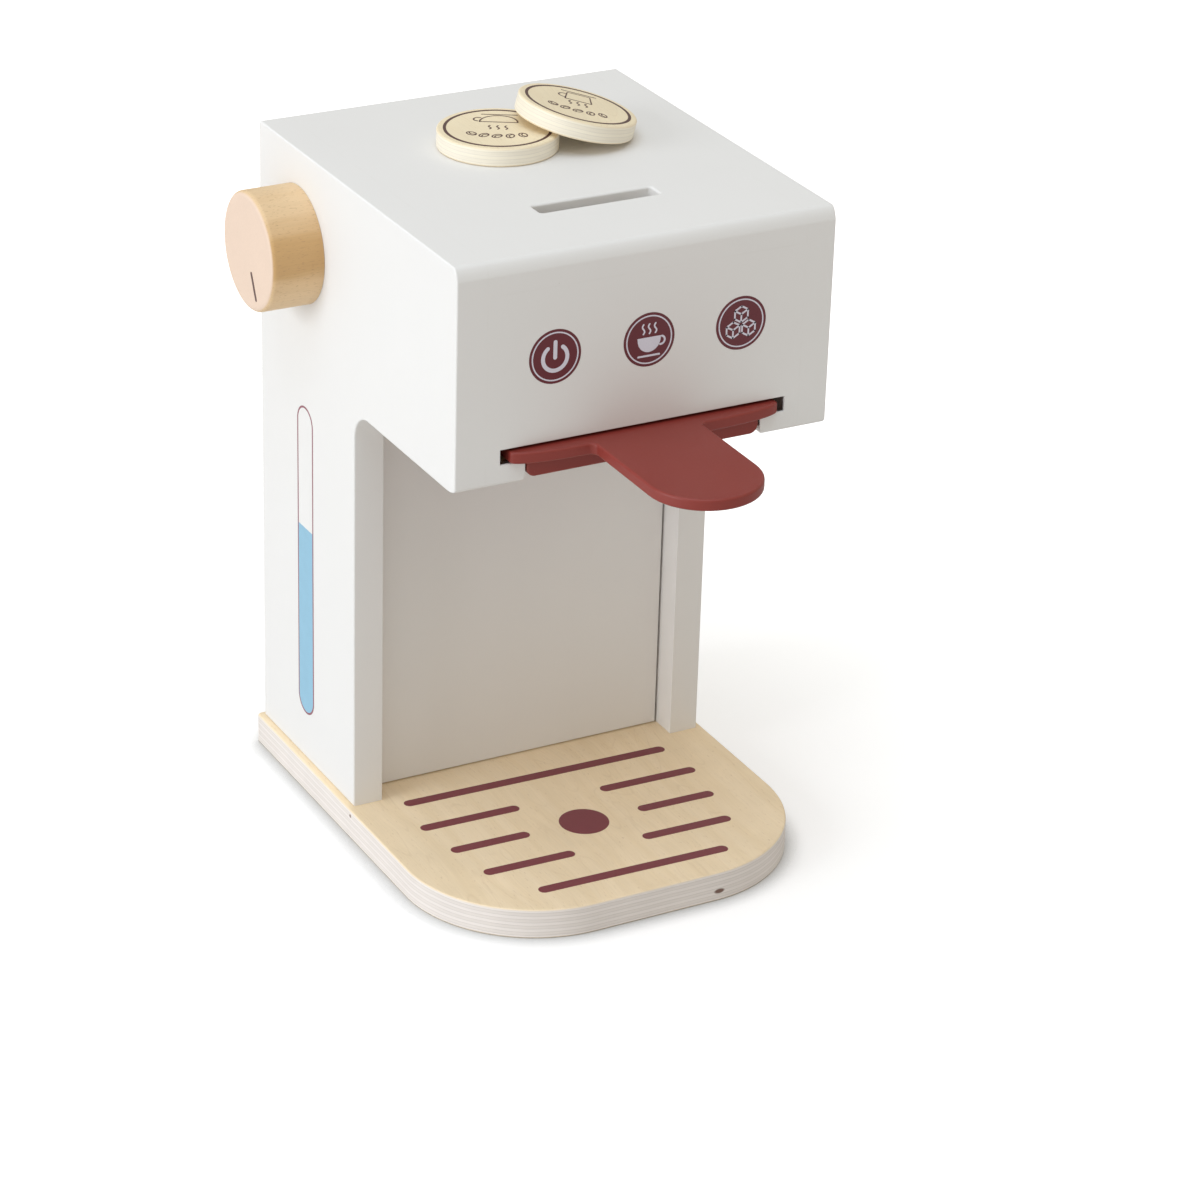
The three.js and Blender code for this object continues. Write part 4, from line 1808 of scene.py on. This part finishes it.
    @staticmethod
    def _power_sign(sign: Print) -> None:
        """Draws an open ring with an upright bar.

        Args:
            sign: The print that the sign is drawn in.
        """
        line, lift = 1.5, Print.thickness
        sign.stroke(curve_points((0, -0.5), 4.75, 128, 412, 48), line, lift)
        sign.stroke([(0, -0.4), (0, 5.4)], line, lift)

    @staticmethod
    def _cup_sign(sign: Print) -> None:
        """Draws a bowl-shaped cup with a handle, its saucer and three steam lines.

        Args:
            sign: The print that the sign is drawn in.
        """
        lift = Print.thickness
        bowl = Outline(24).to(-4.7, 0.9).arc((0, 0.2), (4.6, 4.9), 180, 360).to(4.7, 0.9)
        handle = curve_points((4.7, -0.9), 1.55, 75, -100, 16)
        sign.shape(bowl, lift).stroke(handle, 0.75, lift).stroke([(-4.2, -6.1), (4.2, -6.1)], 0.7, lift)
        for across in (-2.4, 0, 2.4):
            sign.stroke(wave((across, 2.3), 3.6, 0.45), 0.6, lift)

    @staticmethod
    def _ice_sign(sign: Print) -> None:
        """Draws three cubes in line work, two below and one above.

        Args:
            sign: The print that the sign is drawn in.
        """
        side, width, lift = 3.05, 0.66, Print.thickness
        rise, reach = side / 2, side * math.cos(math.radians(30))
        for across, up in ((0, 3.3), (-3.15, -2.3), (3.15, -2.3)):
            corners = [(across + reach * x, up + side * y) for x, y in
                       ((0, 1), (-1, 0.5), (-1, -0.5), (0, -1), (1, -0.5), (1, 0.5))]
            for start, end in zip(corners, corners[1:] + corners[:1]):
                sign.stroke([start, end], width, lift)
            for x, y in ((0, -side), (-reach, rise), (reach, rise)):
                sign.stroke([(across, up), (across + x, up + y)], width, lift)

    def _water_gauge(self) -> None:
        """Prints the water gauge on the left side."""
        width, (low, high) = self.gauge_width, self.gauge_range
        place = face_place((-self.half_width, self.gauge_middle, low), (0, -1, 0), (0, 0, 1))
        rim = round_ended(width, high - low, (0, (high - low) / 2), steps=20)
        frame_line = Print().loop(rim, self.gauge_line)
        half, level = width / 2 - self.gauge_line, self.gauge_level - low
        fill = Print().shape(Outline(20).arc((0, width / 2), half, 180, 360).to(half, level).to(-half, level))
        finished_piece("gauge_line", frame_line.mesh("gauge_line", place), self.finishes.mauve, "housing")
        finished_piece("gauge_water", fill.mesh("gauge_water", place), self.finishes.water, "housing")


@dataclass
class BasePlate:
    """The birch plywood base with its printed drip grid and its screws."""

    finishes: Finishes
    half_width: float = 77.5
    half_depth: float = 94.5
    thickness: float = 12.0
    front_radius: float = 52.0
    back_radius: float = 2.0
    edge: float = 0.8
    stripe_width: float = 4.6
    stripe_pitch: float = 19.8
    print_shift: float = -0.95
    print_skew: float = -1.5
    rows: tuple[Point, ...] = ((0.0, 55.9), (17.4, 58.5), (23.1, 55.5), (14.4, 51.8), (0.0, 39.4))
    spot: Triple = (-1.0, -38.9, 9.6)
    screws: tuple[str, ...] = ("base_screw_1", "base_screw_2", "base_screw_3", "base_screw_4")
    hole: tuple[Point, ...] = ((0, -1), (4.1, -1), (4.1, 0.5), (2.1, 2.7), (2.1, 13), (0, 13))
    screw: tuple[Point, ...] = ((0, 0), (3.3, 0), (3.8, 0.25), (1.8, 2.2), (1.8, 32.5), (0.4, 34), (0, 34))
    cross: Triple = (4.4, 0.9, 0.2)
    cross_depth: float = 1.1

    def build(self) -> None:
        """Builds the plate, its print and its screws."""
        self._plate()
        self._drip_grid()
        self._screws()

    def _plate(self) -> None:
        """Builds the plate with its screw holes."""
        outline = Outline(40)
        side, end = self.half_width, self.half_depth
        under, upper = on_plane(Axis.Z, 0), on_plane(Axis.Z, self.thickness)
        front, back = self.front_radius, self.back_radius
        outline.arc((side - front, front - end), front, -90, 0)
        outline.arc((side - back, end - back), back, 0, 90)
        outline.arc((back - side, end - back), back, 90, 180)
        outline.arc((front - side, front - end), front, 180, 270)
        plate = prism(outline, Axis.Z, 0, self.thickness)
        bevel(plate, lambda edge: under(edge) or upper(edge), self.edge)
        holes = []
        for x, y in self._screw_places():
            hole = turned(self.hole, steps=48)
            bmesh.ops.translate(hole, verts=hole.verts, vec=(x * MM, y * MM, 0))
            holes.append(hole)
        mesh = mesh_of(carve(plate, holes), "base_plate")
        keep_own_place(mesh)
        finished_piece("base_plate_ply", mesh, self.finishes.base_ply, "housing", ["base_plate"])

    def _screw_places(self) -> list[Point]:
        """Returns the screws' places in plan, from their nodes."""
        middles = [sum(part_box(name), Vector()) / 2 / MM for name in self.screws]
        return [(middle.x, middle.y) for middle in middles]

    def _drip_grid(self) -> None:
        """Prints the drip grid: five rows of stripes round a spot."""
        slope = math.tan(math.radians(self.print_skew))
        stripes = stripe_tree()
        grid = bmesh.new()
        for index, (start, end) in enumerate(self.rows):
            y = self.spot[1] + (len(self.rows) // 2 - index) * self.stripe_pitch
            middles = [0.0] if start == 0 else [-(start + end) / 2, (start + end) / 2]
            length = 2 * end if start == 0 else end - start
            places = [(self.print_shift + x, y + x * slope, self.thickness - Print.sunk) for x in middles]
            absorb(grid, stripes.run(places, {
                "Length": length * MM, "Width": self.stripe_width * MM, "Turn": math.radians(self.print_skew),
                "Thickness": (Print.thickness + Print.sunk) * MM, "Material": self.finishes.stripe}))
        x, y, radius = self.spot
        top = Matrix.Translation((0, 0, self.thickness * MM))
        absorb(grid, Print().spot((x, y), radius).mesh("spot", top))
        finished_piece("drip_grid", mesh_of(grid, "drip_grid"), self.finishes.stripe, "housing")

    def _screws(self) -> None:
        """Sets the countersunk screws in their holes, each turned by chance."""
        tools = []
        for turn in (0, 90):
            arm = prism(rounded_rectangle(*self.cross), Axis.Z, -1, self.cross_depth)
            bmesh.ops.rotate(arm, verts=arm.verts, matrix=Matrix.Rotation(math.radians(turn), 3, "Z"))
            tools.append(arm)
        original = linked("screw", mesh_of(carve(turned(self.screw, steps=40), tools), "screw"))
        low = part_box(self.screws[0])[0].z / MM
        mesh = copy_tree("Screws").run([(x, y, low) for x, y in self._screw_places()], {
            "Copy": original, "Least Turn": 0.0, "Most Turn": math.pi, "Seed": 4,
            "Material": self.finishes.zinc})
        bpy.data.objects.remove(original)
        finished_piece("base_screws", mesh, self.finishes.zinc, "housing", self.screws)


@dataclass
class Slider:
    """The lacquered slider: a plate with a tongue, and the block below it."""

    finishes: Finishes
    front: float = HEAD_FRONT
    plate_half: float = 53.8
    plate_bottom: float = 185.1
    plate_top: float = 189.5
    front_reach: float = 5.6
    front_sweep: float = 5.2
    flat_half: float = 26.5
    tongue_half: float = 21.3
    tongue_shift: float = -1.7
    tongue_reach: float = 66.0
    root_radius: float = 2.5
    block_half: float = 46.7
    block_bottom: float = 178.2
    block_radius: float = 3.4
    length: float = 88.0
    gate: Triple = (49.2, 9.0, 1.2)
    gate_middle: float = 67.7
    pin_slot: tuple[float, float, float, float] = (40.0, 6.6, 33.6, 35.5)
    edge: float = 0.9
    over: float = 1.0

    def build(self) -> None:
        """Builds the plate and the block."""
        plate = prism(self._plate_outline(), Axis.Z, self.plate_bottom, self.plate_top)
        bevel(plate, turning(STEEP_ANGLE), self.edge)
        slots = [self._pin_slot(side) for side in (-1, 1)]
        self._lacquered("slider_plate", carve(plate, [self._gate(), *slots]))
        block = prism(self._block_outline(), Axis.Y, self.front, self.front + self.length)
        bevel(block, on_plane(Axis.Y, self.front), self.edge / 2)
        self._lacquered("slider_block", carve(block, [self._gate()]))

    def _lacquered(self, name: str, solid: Solid) -> None:
        """Finishes one lacquered piece that stands for the node of its name.

        Args:
            name: The node.
            solid: The piece's solid.
        """
        mesh = mesh_of(solid, name)
        finished_piece(name + "_lacquered", mesh, self.finishes.lacquer, "slider", [name])

    def _pin_slot(self, side: int) -> Solid:
        """Builds the tool that cuts a slot for a stop pin.

        Args:
            side: -1 for the left slot, 1 for the right one.

        Returns:
            The tool.
        """
        spacing, width, length, middle = self.pin_slot
        outline = round_ended(width, length, (side * spacing, self.front + middle))
        return prism(outline, Axis.Z, self.plate_bottom - self.over, self.plate_top + self.over)

    def _gate(self) -> Solid:
        """Builds the tool that cuts the gate through which a disc drops.

        Returns:
            The tool.
        """
        length, width, corner = self.gate
        outline = rounded_rectangle(length, width, corner, (0, self.front + self.gate_middle))
        return prism(outline, Axis.Z, self.block_bottom - self.over, self.plate_top + self.over)

    def _plate_outline(self) -> Outline:
        """Draws the plate: its front falls back towards its ends, and the tongue has a round end.

        Returns:
            The plan.
        """
        outline = Outline(24)
        sweep = (self.plate_half - self.flat_half, self.front_sweep)
        end_front = self.front + self.front_sweep - self.front_reach
        root, shift = self.tongue_half + self.root_radius, self.tongue_shift
        root_line = self.front - self.front_reach - self.root_radius
        outline.to(self.plate_half, self.front + self.length).to(-self.plate_half, self.front + self.length)
        outline.arc((-self.flat_half, end_front), sweep, 180, 270)
        outline.arc((shift - root, root_line), self.root_radius, 90, 0)
        outline.arc((shift, self.front + self.tongue_half - self.tongue_reach), self.tongue_half, 180, 360)
        outline.arc((shift + root, root_line), self.root_radius, 180, 90)
        outline.arc((self.flat_half, end_front), sweep, -90, 0)
        return outline

    def _block_outline(self) -> Outline:
        """Draws the block's front view, with its two lower corners rounded.

        Returns:
            The front view.
        """
        outline = Outline(10)
        radius = self.block_radius
        outline.to(self.block_half, self.plate_bottom).to(-self.block_half, self.plate_bottom)
        outline.arc((radius - self.block_half, self.block_bottom + radius), radius, 180, 270)
        outline.arc((self.block_half - radius, self.block_bottom + radius), radius, 270, 360)
        return outline


@dataclass
class Knob:
    """The turned beech knob with its pointer, its dowel and its ring."""

    finishes: Finishes
    panel_face: float = -75.03
    radius: float = 22.5
    thickness: float = 20.68
    edge: float = 2.0
    back_edge: float = 0.2
    bore_depth: float = 12.0
    pointer_start: float = 8.1
    pointer_end: float = 17.7
    pointer_width: float = 1.55
    pointer_heading: float = 245.4

    def build(self) -> None:
        """Builds the knob, its pointer, its dowel and its ring."""
        self._body()
        self._pointer()
        build_dowel("knob_axle", Axis.X, self.finishes.beech, "knob")
        dress_node("knob_ring", self.finishes.board)

    def _body(self) -> None:
        """Builds the knob with rounded edges and the bore for its dowel."""
        edge, radius, tall = self.edge, self.radius, self.thickness
        profile = [(0, self.bore_depth), (KNOB_BORE, self.bore_depth), (KNOB_BORE, 0)]
        profile += quarter((radius - self.back_edge, self.back_edge), self.back_edge, -90)
        profile += quarter((radius - edge, tall - edge), edge, 0, 10)
        profile += [(0, tall)]
        mesh = mesh_of(turned(profile), "knob")
        keep_own_place(mesh, UPRIGHT_GRAIN)
        outward = Matrix.Rotation(math.radians(-90), 4, "Y")
        mesh.transform(Matrix.Translation(Vector((self.panel_face, *KNOB_AXIS)) * MM) @ outward)
        finished_piece("knob_turned", mesh, self.finishes.beech, "knob", ["knob"])

    def _pointer(self) -> None:
        """Prints the pointer line on the knob's face."""
        heading = math.radians(self.pointer_heading)
        y, z = math.cos(heading), math.sin(heading)
        place = face_place((self.panel_face - self.thickness, *KNOB_AXIS), (0, -1, 0), (0, 0, 1))
        ends = [(-reach * y, reach * z) for reach in (self.pointer_start, self.pointer_end)]
        line = Print().stroke(ends, self.pointer_width)
        finished_piece("knob_pointer", line.mesh("pointer", place), self.finishes.grey, "knob")


@dataclass
class CoffeeDiscs:
    """The two plywood discs on the top, each with a printed drink."""

    finishes: Finishes
    radius: float = 22.5
    thickness: float = 7.0
    edge: float = 0.9
    flat_place: Triple = (-7.0, 30.9, 260.5)
    lean_span: float = 29.2
    lean_side: float = 4.4
    lean_heading: float = -12.2
    lean_gap: float = 0.3
    print_heading: float = 151.0
    ring_radius: float = 20.1
    ring_width: float = 1.15

    def build(self) -> None:
        """Builds both discs."""
        flat = Matrix.Translation(Vector(self.flat_place) * MM)
        heading = self.print_heading - self.lean_heading
        self._disc("disc_flat", flat, self.print_heading, DiscMotif.LOW_CUP)
        self._disc("disc_leaning", flat @ self._lean(), heading, DiscMotif.TALL_MUG)

    def _lean(self) -> Matrix:
        """Finds the place of the leaning disc in that of the flat one.

        Returns:
            The place.
        """
        tilt = math.atan(self.thickness / self.lean_span)
        along = self.radius + self.lean_span - self.radius * math.cos(tilt)
        up = self.lean_gap + self.radius * math.sin(tilt)
        heading = Matrix.Rotation(math.radians(self.lean_heading), 4, "Z")
        shift = Matrix.Translation(Vector((along, self.lean_side, up)) * MM)
        return heading @ shift @ Matrix.Rotation(tilt, 4, "Y")

    def _disc(self, node: str, place: Matrix, heading: float, motif: DiscMotif) -> None:
        """Builds one disc and its print.

        Args:
            node: The node that it replaces, which is also its body's name.
            place: Where the middle of its underside lies.
            heading: The print's turn on the disc, in degrees.
            motif: The drink that it shows.
        """
        mesh = mesh_of(turned(rod_profile(self.radius, self.thickness, self.edge)), node)
        keep_own_place(mesh)
        mesh.transform(place)
        finished_piece(node + "_ply", mesh, self.finishes.disc_ply, node, [node])
        turn = Matrix.Rotation(math.radians(heading), 4, "Z")
        face = place @ Matrix.Translation((0, 0, self.thickness * MM)) @ turn
        drawing = Print().ring(self.ring_radius, self.ring_width)
        self._drink(drawing, motif)
        self._beans(drawing)
        finished_piece(node + "_print", drawing.mesh(node + "_print", face), self.finishes.brown, node)

    @staticmethod
    def _drink(drawing: Print, motif: DiscMotif) -> None:
        """Draws the drink in thin lines, in the lower half of the disc.

        Args:
            drawing: The print that it is drawn in.
            motif: The drink.
        """
        line = 0.55
        if motif is DiscMotif.LOW_CUP:
            bowl = curve_points((0, -6.5), 7.0, 180, 360)
            drawing.stroke([(-7.0, -6.5), (7.0, -6.5)], line).stroke(bowl, line)
            drawing.stroke(curve_points((7.4, -9.0), 1.9, 80, -110, 14), line)
        else:
            drawing.stroke([(-5.0, -4.5), (5.0, -4.5)], line)
            drawing.stroke([(-5.0, -4.5), (-4.3, -13.0), (4.3, -13.0), (5.0, -4.5)], line)
            drawing.stroke(curve_points((5.2, -8.4), 2.3, 90, -95, 14), line)
        drawing.stroke([(-6.5, -14.6), (6.5, -14.6)], line)
        for across in (-3.0, 0.0, 3.0):
            drawing.stroke(wave((across, -2.6), 3.8, 0.5), line)

    @staticmethod
    def _beans(drawing: Print) -> None:
        """Adds a bow of coffee beans above the drink.

        Args:
            drawing: The print that they are added to.
        """
        groove = [(0.45 * math.sin(math.pi * s / 4), 0.5 * s - 1.0) for s in (-1.2, 0, 1, 2, 3, 4, 5.2)]
        bean = Print().loop(Outline(28).arc((0, 0), (1.7, 2.3), 0, 360), 0.5).stroke(groove, 0.48)
        original = linked("bean", bean.mesh("bean", Matrix.Identity(4)))
        reach, middle, spread = 24.0, -15.5, math.radians(11.5)
        places = [(reach * math.sin(spread * turn), middle + reach * math.cos(spread * turn), 0)
                  for turn in range(-2, 3)]
        mesh = copy_tree("Beans").run(places, {
            "Copy": original, "Least Turn": -0.9, "Most Turn": 0.9, "Seed": 7, "Material": None})
        bpy.data.objects.remove(original)
        absorb(drawing.solid, mesh)


def build_dowel(node: str, axis: Axis, material: Material, body: str, edge: float = 0.5) -> None:
    """Builds a beech dowel with eased ends in the place of a node.

    Args:
        node: The node that it replaces.
        axis: The axis along which the dowel lies, X or Z.
        material: Its finish.
        body: The body that it moves with.
        edge: The rounding of its ends, in millimetres.
    """
    low, high = (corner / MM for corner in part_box(node))
    size, start = high - low, (low + high) / 2
    mesh = mesh_of(turned(rod_profile(size.y / 2, size[axis.value], edge), steps=48), node)
    keep_own_place(mesh, UPRIGHT_GRAIN)
    start[axis.value] = low[axis.value]
    turn = Matrix.Rotation(math.radians(90), 4, "Y") if axis is Axis.X else Matrix.Identity(4)
    mesh.transform(Matrix.Translation(start * MM) @ turn)
    finished_piece(node + "_dowel", mesh, material, body, [node])


def dress_node(name: str, material: Material) -> None:
    """Gives a carried-over node its finish.

    Args:
        name: The node.
        material: Its finish.
    """
    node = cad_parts[name]
    node.data.materials.clear()
    node.data.materials.append(material)
    LOG.info("%s: node kept, dressed as %s", name, material.name)


def main() -> None:
    """Builds the studio and every part of the object."""
    logging.basicConfig(level=logging.INFO, format="%(message)s")
    Studio().build()
    finishes = Finishes(base_thickness=BasePlate.thickness, disc_thickness=CoffeeDiscs.thickness)
    Housing(finishes).build()
    BasePlate(finishes).build()
    Slider(finishes).build()
    Knob(finishes).build()
    CoffeeDiscs(finishes).build()


if __name__ == "__main__":
    main()
